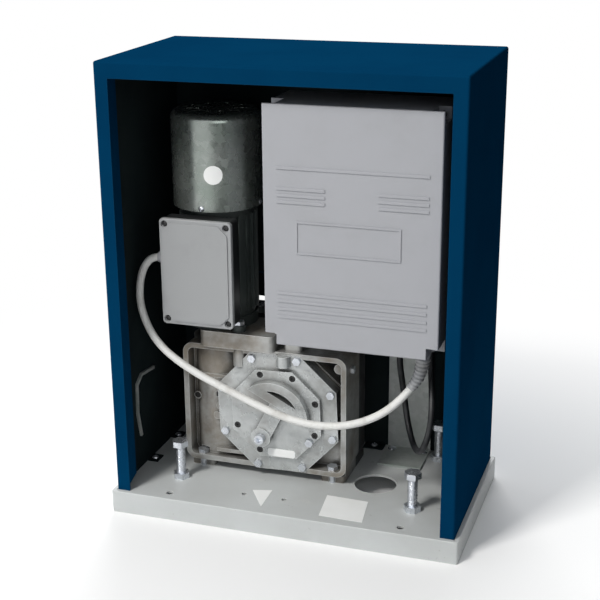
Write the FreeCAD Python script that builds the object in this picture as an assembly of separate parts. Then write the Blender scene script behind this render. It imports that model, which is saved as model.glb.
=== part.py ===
import FreeCAD, Part
import math
import os

V = FreeCAD.Vector
os.makedirs("parts", exist_ok=True)

# Sliding gate motor.  Lengths in mm.  X runs along the gate, Y from the open service side
# towards the gate, Z up.  Everything is laid out about the centre of the cabinet at floor
# level, and save() moves it so that Y = 0 is the middle of the whole depth.

# Cabinet and base tray
CABINET_W = 450.0
CABINET_D = 242.0
CABINET_H = 560.0
CABINET_SHEET = 2.0
CABINET_BEND = 3.0
FLANGE_SIDE = 18.0
FLANGE_TOP = 20.0
FLANGE_RETURN = 20.0
RETURN_FOOT_GAP = 10.0
BASE_MARGIN = 6.0
BASE_H = 30.0
BASE_SHEET = 3.0
CABLE_HOLE_R = 28.0
CABLE_HOLE_AT = (95.0, -4.0)
ANCHOR_HOLE_R = 4.5
ANCHOR_SPACING_X = 310.0
ANCHOR_SPACING_Y = 220.0
RELIEF_HOLE_R = 2.0
RELIEF_HOLE_INSET = 7.0
SPARE_HOLE_R = 3.5
SPARE_HOLES_AT = ((-61.0, -83.0), (-6.0, -83.0))

# Levelling bolts
LEVEL_R = 6.0
LEVEL_X = 158.5
LEVEL_Y_FRONT = -62.0
LEVEL_Y_REAR = 94.0
LEVEL_HEAD_TOP = 84.0
LEVEL_NUT_H = 8.0

# Rear hatch and pinion guard
HATCH_LEFT = -145.0
HATCH_RIGHT = 80.0
HATCH_TOP = 268.0
HATCH_GAP = 0.6
HATCH_LIP = 20.0
SLOT_LEFT = -115.0
SLOT_RIGHT = 42.0
SLOT_Z = 225.0
SLOT_H = 18.0
SLOT_NOTCH_LEFT = -28.0
SLOT_NOTCH_RIGHT = 7.0
SLOT_NOTCH_DROP = 16.0
GUARD_HALF_W = 71.5
GUARD_REACH = 58.0
GUARD_FLOOR_Z = 45.0
GUARD_SIDE_TOP = 171.0
GUARD_SIDE_REACH = 28.0
GUARD_SIDE_SLOPE = 21.0
GUARD_CHAMFER = 27.0
GUARD_SHEET = 2.0
HATCH_SCREW_AT = (73.0, 182.0)

# Gearing: drive pinion, worm and worm wheel
PINION_X = -34.0
PINION_Z = 124.0
PINION_TEETH = 20
PINION_MODULE = 6.0
PINION_WIDTH = 35.0
PINION_SETBACK = 8.0
PINION_RECESS_R = 35.0
PINION_RECESS_DEPTH = 12.0
PINION_HUB_R = 23.0
PINION_COLLAR_R = 50.0
PINION_COLLAR_W = 9.0
WHEEL_TEETH = 40
WORM_MODULE = 3.5
WORM_PITCH_R = 24.0
WORM_LENGTH = 80.0
WHEEL_WIDTH = 30.0
WHEEL_HUB_R = 27.0
WHEEL_HUB_W = 46.0
GEAR_BACKLASH = 0.7
PRESSURE_ANGLE = 20.0
SHAFT_R = 15.0
KEY_W = 8.0
KEY_PROUD = 3.0
RUNNING_GAP = 0.05

# Gearbox casting
BOX_LEFT_WALL = 7.0
BOX_FRONT = -25.0
BOX_BACK = 66.0
BOX_RIGHT = 60.0
BOX_BOTTOM = 42.0
BOX_TOP = 210.0
BOX_CORNER_R = 14.0
BOX_RIM = 7.0
BOX_WEB_FRONT = -4.0
COVER_T = 16.0
COVER_R = 89.0
COVER_BOLT_CIRCLE_R = 81.0
COVER_ANGLE = 25.0
CAP_R = 66.0
CAP_T = 6.0
CAP_SCREW_CIRCLE_R = 58.0
CAP_SCREW_ANGLE = 21.5
CAP_SCREW_SINK = 3.0
CAP_BOLT_AT = (12.0, 90.0)
COVER_BOSS_X = -24.5
COVER_BOSS_R = 10.0
COVER_BOSS_H = 15.0
GEAR_ROOM_R = 77.0
GEAR_ROOM_BACK = 46.0
WORM_ROOM_R = 30.5
FOOT_H = 10.0
FOOT_W = 34.0
FOOT_INSET = 4.0
FOOT_SETBACK = 8.0
FOOT_REACH_REAR = 16.0
FOOT_BOLT_R = 4.0
FOOT_BOLT_INSET = 9.0
FOOT_SPOT_R = 8.5
FILLER_AT = (-14.0, 2.0)
FILLER_TOP = 219.0
FILLER_R = 6.0
EARTH_BOLT_Z = 187.0
LIMIT_FOOT_AT = ((0.0, 56.0), (36.0, 56.0))

# Bearings (outer radius, width)
SHAFT_BEARING = (31.0, 16.0)
WORM_BEARING = (23.5, 14.0)
TOP_BEARING = (20.0, 11.0)
SEAL_R = 26.0

# Release lever on the front of the gearbox
LEVER_PIVOT_X = -52.0
LEVER_PIVOT_Z = 93.0
LEVER_LEAN = 63.0
LEVER_T = 11.0
LEVER_ARC_R = 49.5
LEVER_LENGTH = 83.0
LEVER_GRIP_AT = 52.0
LEVER_GRIP_W = 12.0
LEVER_OPEN_R = 38.0
LEVER_STEM_W = 22.0
LEVER_HUB_R = 13.0
LEVER_SCREW_R = 4.0
LEVER_GAP = 0.4

# Motor
MOTOR_X = PINION_X - WORM_MODULE * WHEEL_TEETH / 2 - WORM_PITCH_R
MOTOR_Y = 22.0
NECK_H = 22.0
NECK_LEFT = -177.0
NECK_LEFT_FRONT = -136.0
NECK_RIGHT = -36.0
NECK_HALF_D = 55.0
NECK_CORNER_R = 8.0
SHIELD_T = 14.0
SHIELD_R = 50.0
SHIELD_EAR_T = 8.0
FRAME_H = 142.0
FRAME_R = 47.0
FRAME_WALL = 3.0
FIN_COUNT = 24
FIN_T = 2.0
FIN_REACH = 4.0
MOTOR_SHAFT_R = 9.0
MOTOR_BOLT_R = 4.0
MOTOR_BOLT_CIRCLE_R = 58.0
STATOR_BORE_R = 27.0
STATOR_LENGTH = 92.0
WINDING_H = 15.0
AIR_GAP = 0.5
COWL_R = 58.0
COWL_SHEET = 1.5
COWL_H = 122.0
COWL_BEND = 9.0
COWL_VENTS = 10
COWL_VENT_R = 30.0
COWL_FOOT_GAP = 4.0
FAN_R = 48.0
FAN_BLADES = 8
FAN_H = 60.0

# Terminal box on the motor
TERMINAL_W = 97.0
TERMINAL_H = 140.0
TERMINAL_FRONT = -60.0
TERMINAL_BACK = -31.5
TERMINAL_BOTTOM = 247.0
TERMINAL_LID_T = 6.0
TERMINAL_WALL = 3.0
TERMINAL_GLAND_AT = (-43.0, 331.0)
LID_STEP = 1.6
LID_STEP_INSET = 5.0
LID_STEP_CORNER = 12.0

# Control box and its bracket
CONTROL_LEFT = -22.0
CONTROL_RIGHT = 194.0
CONTROL_BOTTOM = 250.0
CONTROL_TOP = 546.0
CONTROL_FRONT = -100.0
CONTROL_LID_D = 40.0
CONTROL_D = 95.0
CONTROL_WALL = 3.0
CONTROL_CORNER = 18.0
RIB_PROUD = 1.2
BRACKET_LEFT = 82.0
BRACKET_RIGHT = 142.0
BRACKET_SHEET = 3.0
BRACKET_FOOT_D = 63.0
BRACKET_GAP = 4.0
BRACKET_DROP = 46.0
BRACKET_EAR_W = 22.0
BRACKET_SCREW_R = 3.0
BRACKET_SCREW_INSET = 11.0
BOARD_T = 1.6
BOARD_STANDOFF = 8.0
BOARD_INSET = 24.0
BOARD_RISE = 40.0
BOARD_DROP = 76.0
CAPACITOR_R = 17.5
CAPACITOR_LENGTH = 92.0
CAPACITOR_GAP = 17.5

# Cable glands
GLAND_R = 11.0
GLAND_NUT_H = 6.0
GLAND_DOME_H = 11.0
GLAND_THREAD_R = 8.0
SPARE_GLAND_AT = (108.0, -50.0)
MOTOR_GLAND_AT = (166.0, -50.0)
CONTROL_GLANDS_AT = ((128.0, -20.0), (168.0, -20.0))
MOTOR_CABLE_R = 5.0
CONTROL_CABLE_R = 4.0

# Limit switch
LIMIT_X = -36.5
LIMIT_SETBACK = 29.0
LIMIT_SHELF_T = 2.0
LIMIT_SHELF_GAP = 1.0
LIMIT_ROD_PROUD = 31.0
LIMIT_ROD_R = 4.0
LIMIT_BALL_R = 6.0
LIMIT_NUT_PROUD = 7.0

# Screws of the sheet metal
TAB_SCREW_R = 2.5
TAB_W = 20.0
TAB_DEPTH = 15.0
TAB_Y = (-20.0, 60.0)
LIP_SCREW_INSET = 17.0

# Strip on the left wall
STRIP_SETBACK = 63.0
STRIP_TOP = 164.0
STRIP_DEPTH = 58.0
STRIP_T = 3.0

FIT = 0.3

REAR = CABINET_D / 2
FRONT = -CABINET_D / 2
SIDE = CABINET_W / 2
BASE_FRONT = FRONT - BASE_MARGIN
GUARD_FRONT = REAR + GUARD_REACH
FRAME_SHIFT = (BASE_FRONT + GUARD_FRONT) / 2
CABINET_TOP = BASE_H + CABINET_H
BOX_LEFT = MOTOR_X - WORM_ROOM_R - BOX_LEFT_WALL
COVER_FRONT = BOX_FRONT
CAP_FRONT = COVER_FRONT - CAP_T
WHEEL_PITCH_R = WORM_MODULE * WHEEL_TEETH / 2
NECK_TOP = BOX_TOP + NECK_H
FRAME_BOTTOM = NECK_TOP + SHIELD_T
FRAME_TOP = FRAME_BOTTOM + FRAME_H
TOP_SHIELD_TOP = FRAME_TOP + SHIELD_T
PINION_FRONT = GUARD_FRONT - PINION_SETBACK
PINION_BACK = PINION_FRONT - PINION_WIDTH
COWL_BOTTOM = FRAME_TOP + COWL_FOOT_GAP
COWL_TOP = COWL_BOTTOM + COWL_H
CONTROL_SEAM = CONTROL_FRONT + CONTROL_LID_D
CONTROL_BACK = CONTROL_FRONT + CONTROL_D
BOARD_BACK = CONTROL_BACK - CONTROL_WALL - BOARD_STANDOFF
BOARD_BOTTOM = CONTROL_BOTTOM + BOARD_RISE
BOARD_TOP = CONTROL_TOP - BOARD_DROP
BRACKET_BACK = REAR - CABINET_SHEET - BRACKET_GAP
BRACKET_TOP = CONTROL_TOP - BRACKET_DROP
LIMIT_Y = BOX_BACK + LIMIT_SETBACK
FOOT_X = (BOX_LEFT + FOOT_W / 2 + FOOT_INSET, BOX_RIGHT - FOOT_W / 2 - FOOT_INSET)
LIP_SCREW_X = (HATCH_LEFT + LIP_SCREW_INSET, HATCH_RIGHT - LIP_SCREW_INSET)
LIP_SCREW_Y = REAR - CABINET_SHEET - HATCH_LIP / 2


# Heads of the hexagon bolts and nuts, as shares of the thread radius
HEX_SHARE = 1.62
HEAD_SHARE = 1.3


# ---------------------------------------------------------------- shape helpers

def box(x0, x1, y0, y1, z0, z1):
    return Part.makeBox(x1 - x0, y1 - y0, z1 - z0, V(x0, y0, z0))


def post(r, z0, z1, x, y):
    """Cylinder standing along Z."""
    return Part.makeCylinder(r, z1 - z0, V(x, y, z0), V(0, 0, 1))


def axle(r, y0, y1, x, z):
    """Cylinder lying along Y."""
    return Part.makeCylinder(r, y1 - y0, V(x, y0, z), V(0, 1, 0))


def rod(r, x0, x1, y, z):
    """Cylinder lying along X."""
    return Part.makeCylinder(r, x1 - x0, V(x0, y, z), V(1, 0, 0))


def edges_along(shape, axis):
    """Straight edges of a shape that run along one axis (0 X, 1 Y, 2 Z)."""
    found = []
    for edge in shape.Edges:
        if len(edge.Vertexes) < 2:
            continue
        step = edge.Vertexes[1].Point - edge.Vertexes[0].Point
        across = [abs(step[i]) for i in range(3) if i != axis]
        if max(across) < 1e-6:
            found.append(edge)
    return found


def rounded(shape, axis, r):
    """The shape with its edges along one axis rounded."""
    return shape.makeFillet(r, edges_along(shape, axis))


def prism(points, axis, start, length):
    """Flat outline, given in the other two axes, pushed along one axis."""
    corners = []
    for a, b in points:
        if axis == 0:
            corners.append(V(start, a, b))
        elif axis == 1:
            corners.append(V(a, start, b))
        else:
            corners.append(V(a, b, start))
    face = Part.Face(Part.makePolygon(corners + corners[:1]))
    push = [V(length, 0, 0), V(0, length, 0), V(0, 0, length)][axis]
    return face.extrude(push)


def ring(count, r, first=0.0):
    """Points evenly round a circle, as (across, up) offsets."""
    points = []
    for i in range(count):
        angle = math.radians(first + 360.0 * i / count)
        points.append((r * math.cos(angle), r * math.sin(angle)))
    return points


def fuse(shapes):
    """One solid from pieces that share a volume."""
    whole = shapes[0]
    if len(shapes) > 1:
        whole = whole.fuse(shapes[1:])
    return whole.removeSplitter()


def aimed(shape, at, toward):
    """A shape built at the origin along +Z, moved to a point and turned to a direction."""
    turned = shape.copy()
    turn = FreeCAD.Rotation(V(0, 0, 1), toward)
    turned.Placement = FreeCAD.Placement(at, turn)
    return turned


def hexagon(inner_r, height, z=0.0):
    """Six-sided bar along +Z, measured across its flats as twice inner_r."""
    corners = [V(x, y, z) for x, y in ring(6, inner_r / math.cos(math.radians(30)))]
    return Part.Face(Part.makePolygon(corners + corners[:1])).extrude(V(0, 0, height))


def hex_bolt(r, length, at, toward):
    """Hexagon bolt: the head stands on the surface at 'at', the shank goes against 'toward'."""
    head = hexagon(HEX_SHARE * r, HEAD_SHARE * r)
    shank = Part.makeCylinder(r, length, V(0, 0, -length))
    return aimed(head.fuse(shank).removeSplitter(), at, toward)


def hex_nut(r, height, at, toward):
    body = hexagon(HEX_SHARE * r, height)
    nut = body.cut(Part.makeCylinder(r, height))
    return aimed(nut, at, toward)


def dome_screw(r, length, at, toward):
    """Round-head screw with a cross-slot hollow."""
    head_r = 2.0 * r
    head_h = 1.1 * r
    dome_r = (head_r ** 2 + head_h ** 2) / (2 * head_h)
    ball = Part.makeSphere(dome_r, V(0, 0, head_h - dome_r))
    head = ball.common(Part.makeCylinder(head_r, head_h))
    slot = Part.makeBox(0.5 * r, 2.4 * r, head_h, V(-0.25 * r, -1.2 * r, 0.55 * head_h))
    screw = head.cut(slot).fuse(Part.makeCylinder(r, length, V(0, 0, -length)))
    return aimed(screw.removeSplitter(), at, toward)


def socket_screw(r, length, at, toward):
    head = Part.makeCylinder(1.6 * r, 2.0 * r)
    key = hexagon(0.85 * r, 1.3 * r, 0.8 * r)
    screw = head.cut(key).fuse(Part.makeCylinder(r, length, V(0, 0, -length)))
    return aimed(screw.removeSplitter(), at, toward)


def bearing(outer_r, inner_r, width):
    """Ball bearing along +Z: inner ring, outer ring and the shield let in between them."""
    depth = 0.08 * width
    blank = Part.makeCylinder(outer_r, width).cut(Part.makeCylinder(inner_r, width))
    land = 0.28 * (outer_r - inner_r)
    for z in (0.0, width - depth):
        groove = Part.makeCylinder(outer_r - land, depth, V(0, 0, z))
        groove = groove.cut(Part.makeCylinder(inner_r + land, depth, V(0, 0, z)))
        blank = blank.cut(groove)
    return blank


def save(name, shapes):
    """Write one node, moved so that the depth is centred on Y = 0."""
    group = shapes if isinstance(shapes, list) else [shapes]
    solids = []
    for shape in group:
        solids.extend(shape.Solids)
    for solid in solids:
        solid.translate(V(0, -FRAME_SHIFT, 0))
    whole = solids[0] if len(solids) == 1 else Part.makeCompound(solids)
    whole.exportStep("parts/" + name + ".step")


# ---------------------------------------------------------------- fastener places

def level_places():
    return [(x, y) for x in (-LEVEL_X, LEVEL_X) for y in (LEVEL_Y_FRONT, LEVEL_Y_REAR)]


def anchor_places():
    half_x = ANCHOR_SPACING_X / 2
    half_y = ANCHOR_SPACING_Y / 2
    return [(x, y) for x in (-half_x, half_x) for y in (-half_y, half_y)]


def foot_places():
    """Gearbox bolts with their seats: in the front pocket, and on the lugs at the rear."""
    front_y = BOX_FRONT + FOOT_BOLT_INSET
    rear_y = BOX_BACK + FOOT_REACH_REAR / 2
    places = [(x, front_y, BOX_BOTTOM + BOX_RIM) for x in FOOT_X]
    return places + [(x, rear_y, BASE_H + FOOT_H) for x in FOOT_X]


def tab_places():
    inside = SIDE - CABINET_SHEET
    return [(x, y) for x in (TAB_DEPTH / 2 - inside, inside - TAB_DEPTH / 2) for y in TAB_Y]


def bracket_foot_places():
    y = BRACKET_BACK - BRACKET_SCREW_INSET
    return [(x, y) for x in (BRACKET_LEFT + 8.0, BRACKET_RIGHT - 8.0)]


# ---------------------------------------------------------------- base and cabinet

def base_plate():
    half_w = SIDE + BASE_MARGIN
    half_d = REAR + BASE_MARGIN
    tray = box(-half_w, half_w, -half_d, half_d, 0, BASE_H)
    tray = rounded(tray, 2, BASE_SHEET)
    top = [e for e in tray.Edges if min(v.Z for v in e.Vertexes) > BASE_H - 1e-6]
    tray = tray.makeFillet(1.5, top)
    t = BASE_SHEET
    hollow = box(t - half_w, half_w - t, t - half_d, half_d - t, -1, BASE_H - t)
    tray = tray.cut(hollow)
    holes = [post(CABLE_HOLE_R, 0, BASE_H + 1, *CABLE_HOLE_AT)]
    for place in level_places():
        holes.append(post(LEVEL_R, 0, BASE_H + 1, *place))
    for place in anchor_places():
        holes.append(post(ANCHOR_HOLE_R, 0, BASE_H + 1, *place))
    for x, y, seat in foot_places():
        holes.append(post(FOOT_BOLT_R, 0, BASE_H + 1, x, y))
    for place in tab_places():
        holes.append(post(TAB_SCREW_R, 0, BASE_H + 1, *place))
    for x in LIP_SCREW_X:
        holes.append(post(TAB_SCREW_R, 0, BASE_H + 1, x, LIP_SCREW_Y))
    for place in bracket_foot_places():
        holes.append(post(BRACKET_SCREW_R, 0, BASE_H + 1, *place))
    for place in SPARE_HOLES_AT:
        holes.append(post(SPARE_HOLE_R, 0, BASE_H + 1, *place))
    inset_x = half_w - RELIEF_HOLE_INSET
    inset_y = half_d - RELIEF_HOLE_INSET
    for x in (-inset_x, inset_x):
        for y in (-inset_y, inset_y):
            holes.append(post(RELIEF_HOLE_R, 0, BASE_H + 1, x, y))
    return tray.cut(holes)


def levelling_bolts():
    bolts = []
    head_h = 1.3 * LEVEL_R
    seat = LEVEL_HEAD_TOP - head_h
    for x, y in level_places():
        bolts.append(hex_bolt(LEVEL_R, seat, V(x, y, seat), V(0, 0, 1)))
    return bolts


def levelling_nuts():
    nuts = []
    for x, y in level_places():
        nuts.append(hex_nut(LEVEL_R, LEVEL_NUT_H, V(x, y, BASE_H), V(0, 0, 1)))
    return nuts


def flange_return(x):
    """Lip folded back from the edge of the side flange, cut away on a slant at its foot."""
    start = FRONT + CABINET_SHEET / 2
    end = FRONT + CABINET_SHEET + FLANGE_RETURN
    foot = BASE_H + RETURN_FOOT_GAP
    top = CABINET_TOP - FLANGE_TOP
    outline = [(start, foot), (end, foot + 6.0), (end, top), (start, top)]
    return prism(outline, 0, x, CABINET_SHEET)


def cabinet_cover():
    t = CABINET_SHEET
    shell = rounded(box(-SIDE, SIDE, FRONT, REAR, BASE_H, CABINET_TOP), 2, CABINET_BEND)
    roof = [e for e in shell.Edges if min(v.Z for v in e.Vertexes) > CABINET_TOP - 1e-6]
    shell = shell.makeFillet(CABINET_BEND, roof)
    room = box(t - SIDE, SIDE - t, FRONT + t, REAR - t, BASE_H - 1, CABINET_TOP - t)
    room = rounded(room, 2, CABINET_BEND - t)
    shell = shell.cut(room)
    edge_x = SIDE - FLANGE_SIDE
    edge_z = CABINET_TOP - FLANGE_TOP
    shell = shell.cut(box(-edge_x, edge_x, FRONT - 1, FRONT + t + 1, BASE_H - 1, edge_z))
    gap = HATCH_GAP
    opening = box(HATCH_LEFT - gap, HATCH_RIGHT + gap, REAR - t - 1, REAR + 1,
                  BASE_H - 1, HATCH_TOP + gap)
    shell = shell.cut(opening)
    lips = [flange_return(edge_x), flange_return(-edge_x - t)]
    lips.append(box(-edge_x - t, edge_x + t, FRONT + t / 2, FRONT + t + FLANGE_RETURN,
                    edge_z, edge_z + t))
    for x, y in tab_places():
        x0, x1 = sorted((math.copysign(SIDE - t / 2, x), x - math.copysign(TAB_DEPTH / 2, x)))
        tab = box(x0, x1, y - TAB_W / 2, y + TAB_W / 2, BASE_H, BASE_H + t)
        lips.append(tab.cut(post(TAB_SCREW_R + FIT, 0, 100, x, y)))
    sx, sz = HATCH_SCREW_AT
    catch = box(sx - 9, HATCH_RIGHT + 15, REAR - 2 * t, REAR - t, sz - 14, sz + 14)
    bridge = box(HATCH_RIGHT + gap, HATCH_RIGHT + 15, REAR - 2 * t, REAR - t / 2,
                 sz - 14, sz + 14)
    lips.append(fuse([catch, bridge]).cut(axle(TAB_SCREW_R, REAR - 10, REAR, sx, sz)))
    return fuse([shell] + lips)


def rear_hatch():
    t = CABINET_SHEET
    back = REAR - t
    plate = box(HATCH_LEFT, HATCH_RIGHT, back, REAR, BASE_H, HATCH_TOP)
    for x in LIP_SCREW_X:
        lip = box(x - 14, x + 14, back - HATCH_LIP, back + t / 2, BASE_H, BASE_H + t)
        plate = plate.fuse(lip.cut(post(TAB_SCREW_R + FIT, 0, 100, x, LIP_SCREW_Y)))
    half_slot = SLOT_H / 2
    slot = box(SLOT_LEFT, SLOT_RIGHT, back - 1, REAR + 1, SLOT_Z - half_slot, SLOT_Z + half_slot)
    slot = rounded(slot, 1, 3.0)
    notch_z = SLOT_Z - half_slot - SLOT_NOTCH_DROP
    notch = box(SLOT_NOTCH_LEFT, SLOT_NOTCH_RIGHT, back - 1, REAR + 1, notch_z, SLOT_Z)
    half = GUARD_HALF_W - GUARD_SHEET
    window = axle(half, back - 1, REAR + 1, PINION_X, PINION_Z)
    below = box(PINION_X - half, PINION_X + half, back - 1, REAR + 1, GUARD_FLOOR_Z, PINION_Z)
    sx, sz = HATCH_SCREW_AT
    screw_hole = axle(TAB_SCREW_R + FIT, back - 1, REAR + 1, sx, sz)
    return plate.cut([slot, notch, window, below, screw_hole]).removeSplitter()


def pinion_guard():
    left = PINION_X - GUARD_HALF_W
    right = PINION_X + GUARD_HALF_W
    side_end = REAR + GUARD_SIDE_REACH
    floor_outline = [(left, REAR), (right, REAR), (right, side_end),
                     (right - GUARD_CHAMFER, GUARD_FRONT), (left + GUARD_CHAMFER, GUARD_FRONT),
                     (left, side_end)]
    pieces = [prism(floor_outline, 2, GUARD_FLOOR_Z, GUARD_SHEET)]
    cheek = [(REAR, GUARD_FLOOR_Z), (side_end, GUARD_FLOOR_Z),
             (side_end, GUARD_SIDE_TOP - GUARD_SIDE_SLOPE), (REAR, GUARD_SIDE_TOP)]
    for x in (left, right - GUARD_SHEET):
        pieces.append(prism(cheek, 0, x, GUARD_SHEET))
    return fuse(pieces)


def sheet_screws():
    """Screws of the cabinet tabs and of the hatch: two on the base, one at its edge."""
    seat = BASE_H + CABINET_SHEET
    sx, sz = HATCH_SCREW_AT
    screws = [dome_screw(TAB_SCREW_R, 9.0, V(sx, REAR, sz), V(0, 1, 0))]
    for x, y in tab_places():
        screws.append(dome_screw(TAB_SCREW_R, 9.0, V(x, y, seat), V(0, 0, 1)))
    for x in LIP_SCREW_X:
        screws.append(dome_screw(TAB_SCREW_R, 9.0, V(x, LIP_SCREW_Y, seat), V(0, 0, 1)))
    return screws


# ---------------------------------------------------------------- gearbox

def octagon(r, y0, y1):
    """Eight-sided plate about the pinion axis."""
    corners = [(PINION_X + a, PINION_Z + b) for a, b in ring(8, r, COVER_ANGLE)]
    return prism(corners, 1, y0, y1 - y0)


def gearbox_housing():
    outer = box(BOX_LEFT, BOX_RIGHT, BOX_FRONT, BOX_BACK, BOX_BOTTOM, BOX_TOP)
    outer = rounded(outer, 1, BOX_CORNER_R)
    inner = box(BOX_LEFT + BOX_RIM, BOX_RIGHT - BOX_RIM, BOX_FRONT - 1, BOX_BACK + 1,
                BOX_BOTTOM + BOX_RIM, BOX_TOP - BOX_RIM)
    inner = rounded(inner, 1, BOX_CORNER_R - BOX_RIM)
    web_back = BOX_WEB_FRONT + 2 * BOX_RIM
    web = box(BOX_LEFT, BOX_RIGHT, BOX_WEB_FRONT, web_back, BOX_BOTTOM, BOX_TOP)
    web = web.cut(web_window())
    frame = outer.cut(inner).fuse(outer.common(web))
    drum = octagon(COVER_R, COVER_FRONT + COVER_T, BOX_BACK).common(outer)
    tube = post(WORM_ROOM_R + BOX_LEFT_WALL, BOX_BOTTOM, BOX_TOP, MOTOR_X, MOTOR_Y)
    pieces = [frame, drum, tube]
    pieces.extend(housing_bosses())
    pieces.extend(housing_feet())
    body = fuse(pieces)
    cuts = [octagon(COVER_R + FIT, BOX_FRONT - 1, COVER_FRONT + COVER_T)]
    cuts.append(axle(GEAR_ROOM_R, COVER_FRONT, GEAR_ROOM_BACK, PINION_X, PINION_Z))
    out_r, out_w = SHAFT_BEARING
    cuts.append(axle(out_r, GEAR_ROOM_BACK - 1, GEAR_ROOM_BACK + out_w, PINION_X, PINION_Z))
    cuts.append(axle(SEAL_R, GEAR_ROOM_BACK, BOX_BACK + 1, PINION_X, PINION_Z))
    low, high = worm_bearing_seats()
    worm_r, worm_w = WORM_BEARING
    cuts.append(post(WORM_ROOM_R, low + worm_w, high, MOTOR_X, MOTOR_Y))
    cuts.append(post(worm_r, low, high + worm_w, MOTOR_X, MOTOR_Y))
    cuts.append(post(13.0, high, BOX_TOP + 1, MOTOR_X, MOTOR_Y))
    for x, z, r in blind_hole_places():
        cuts.append(axle(r, BOX_WEB_FRONT - 1, BOX_WEB_FRONT + 6, x, z))
    for a, b in ring(8, COVER_BOLT_CIRCLE_R, COVER_ANGLE):
        cuts.append(axle(3.0, COVER_FRONT, COVER_FRONT + COVER_T + 5,
                         PINION_X + a, PINION_Z + b))
    for x, y, seat in foot_places():
        cuts.append(post(FOOT_BOLT_R + FIT, 0, seat + 1, x, y))
        cuts.append(post(FOOT_SPOT_R, seat, seat + 7, x, y))
    for x, y in neck_bolt_places():
        cuts.append(post(MOTOR_BOLT_R, BOX_TOP - 16, BOX_TOP + 1, x, y))
    px, py = FILLER_AT
    cuts.append(post(FILLER_R, FILLER_TOP - 12, FILLER_TOP + 1, px, py))
    cuts.append(rod(3.0, BOX_RIGHT - 12, BOX_RIGHT + 1, 0, EARTH_BOLT_Z))
    for x, y in LIMIT_FOOT_AT:
        cuts.append(post(2.0, BOX_TOP - 7, BOX_TOP + 1, x, y))
    return body.cut(cuts).removeSplitter()


def blind_hole_places():
    """Cored holes in the web beside the worm, with their radii."""
    return [(MOTOR_X - 20.0, PINION_Z + 9.5, 4.5), (MOTOR_X + 6.5, PINION_Z + 15.0, 4.0)]


def web_window():
    """Deep pocket through the web in the free corner beside the gear drum."""
    corner_x = BOX_RIGHT - BOX_RIM
    corner_z = BOX_TOP - BOX_RIM
    outline = [(corner_x, corner_z), (corner_x - 50, corner_z), (corner_x, corner_z - 44)]
    return prism(outline, 1, BOX_FRONT, BOX_BACK - BOX_FRONT)


def housing_bosses():
    """Ribs and bosses cast on the worm side, and the filler boss on top."""
    bosses = []
    rib_t = 5.0
    left = BOX_LEFT + BOX_RIM / 2
    bosses.append(box(left, MOTOR_X + 20, -16.0, MOTOR_Y, 160.0, 160.0 + rib_t))
    bosses.append(box(MOTOR_X + 4, MOTOR_X + 58, -19.0, MOTOR_Y, 54.0, 54.0 + rib_t))
    for x, z, r in ((10.0, -4.0, 5.5), (6.0, -18.0, 5.5), (22.0, -33.0, 7.0)):
        bosses.append(axle(r, -17.0, 10.0, MOTOR_X + x, PINION_Z + z))
    px, py = FILLER_AT
    bosses.append(rounded(box(px - 12, px + 12, py - 22, py + 12, 196.0, FILLER_TOP), 2, 5.0))
    bosses.append(axle(7.0, BOX_WEB_FRONT - 8, 20.0, BOX_RIGHT - 13, BOX_TOP - 20))
    for x, y in neck_bolt_places():
        bosses.append(post(9.0, BOX_TOP - 26, BOX_TOP, x, y))
    return bosses


def housing_feet():
    feet = []
    for x in FOOT_X:
        x0 = x - FOOT_W / 2
        x1 = x + FOOT_W / 2
        front = BOX_FRONT + FOOT_SETBACK
        pad = box(x0, x1, front, BOX_BACK + FOOT_REACH_REAR, BASE_H, BASE_H + FOOT_H)
        feet.append(rounded(pad, 2, 6.0))
        feet.append(box(x0, x1, front + 6, BOX_BACK, BASE_H, BOX_BOTTOM + BOX_RIM))
    return feet


def gearbox_cover():
    plate = octagon(COVER_R, COVER_FRONT, COVER_FRONT + COVER_T)
    boss_z = PINION_Z + CAP_R + 1.5
    boss = post(COVER_BOSS_R, boss_z, boss_z + COVER_BOSS_H, COVER_BOSS_X, COVER_FRONT)
    plate = plate.fuse(boss)
    cuts = []
    for a, b in ring(8, COVER_BOLT_CIRCLE_R, COVER_ANGLE):
        x = PINION_X + a
        z = PINION_Z + b
        cuts.append(axle(3.0 + FIT, COVER_FRONT - 1, COVER_FRONT + COVER_T + 1, x, z))
    for x, z in cap_screw_places():
        cuts.append(axle(2.5, COVER_FRONT - 1, COVER_FRONT + 12, x, z))
    cuts.append(axle(3.0, COVER_FRONT - 1, COVER_FRONT + 12, *CAP_BOLT_AT))
    cuts.append(axle(SHAFT_BEARING[0], COVER_FRONT - 1, COVER_FRONT + COVER_T + 1,
                     PINION_X, PINION_Z))
    pivot = (LEVER_PIVOT_X, LEVER_PIVOT_Z)
    cuts.append(axle(LEVER_SCREW_R, COVER_FRONT - 1, COVER_FRONT + 9, *pivot))
    return plate.cut(cuts)


def cap_screw_places():
    return [(PINION_X + a, PINION_Z + b) for a, b in ring(8, CAP_SCREW_CIRCLE_R, CAP_SCREW_ANGLE)]


def bearing_cap():
    plate = octagon(CAP_R, CAP_FRONT, COVER_FRONT)
    cuts = [axle(3.0 + FIT, CAP_FRONT - 1, COVER_FRONT + 1, *CAP_BOLT_AT)]
    for x, z in cap_screw_places():
        cuts.append(axle(2.5 + FIT, CAP_FRONT - 1, COVER_FRONT + 1, x, z))
        cuts.append(axle(4.6, CAP_FRONT - 1, CAP_FRONT + CAP_SCREW_SINK, x, z))
    cuts.append(axle(LEVER_SCREW_R + FIT, CAP_FRONT - 1, COVER_FRONT + 1,
                     LEVER_PIVOT_X, LEVER_PIVOT_Z))
    return plate.cut(cuts)


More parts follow.
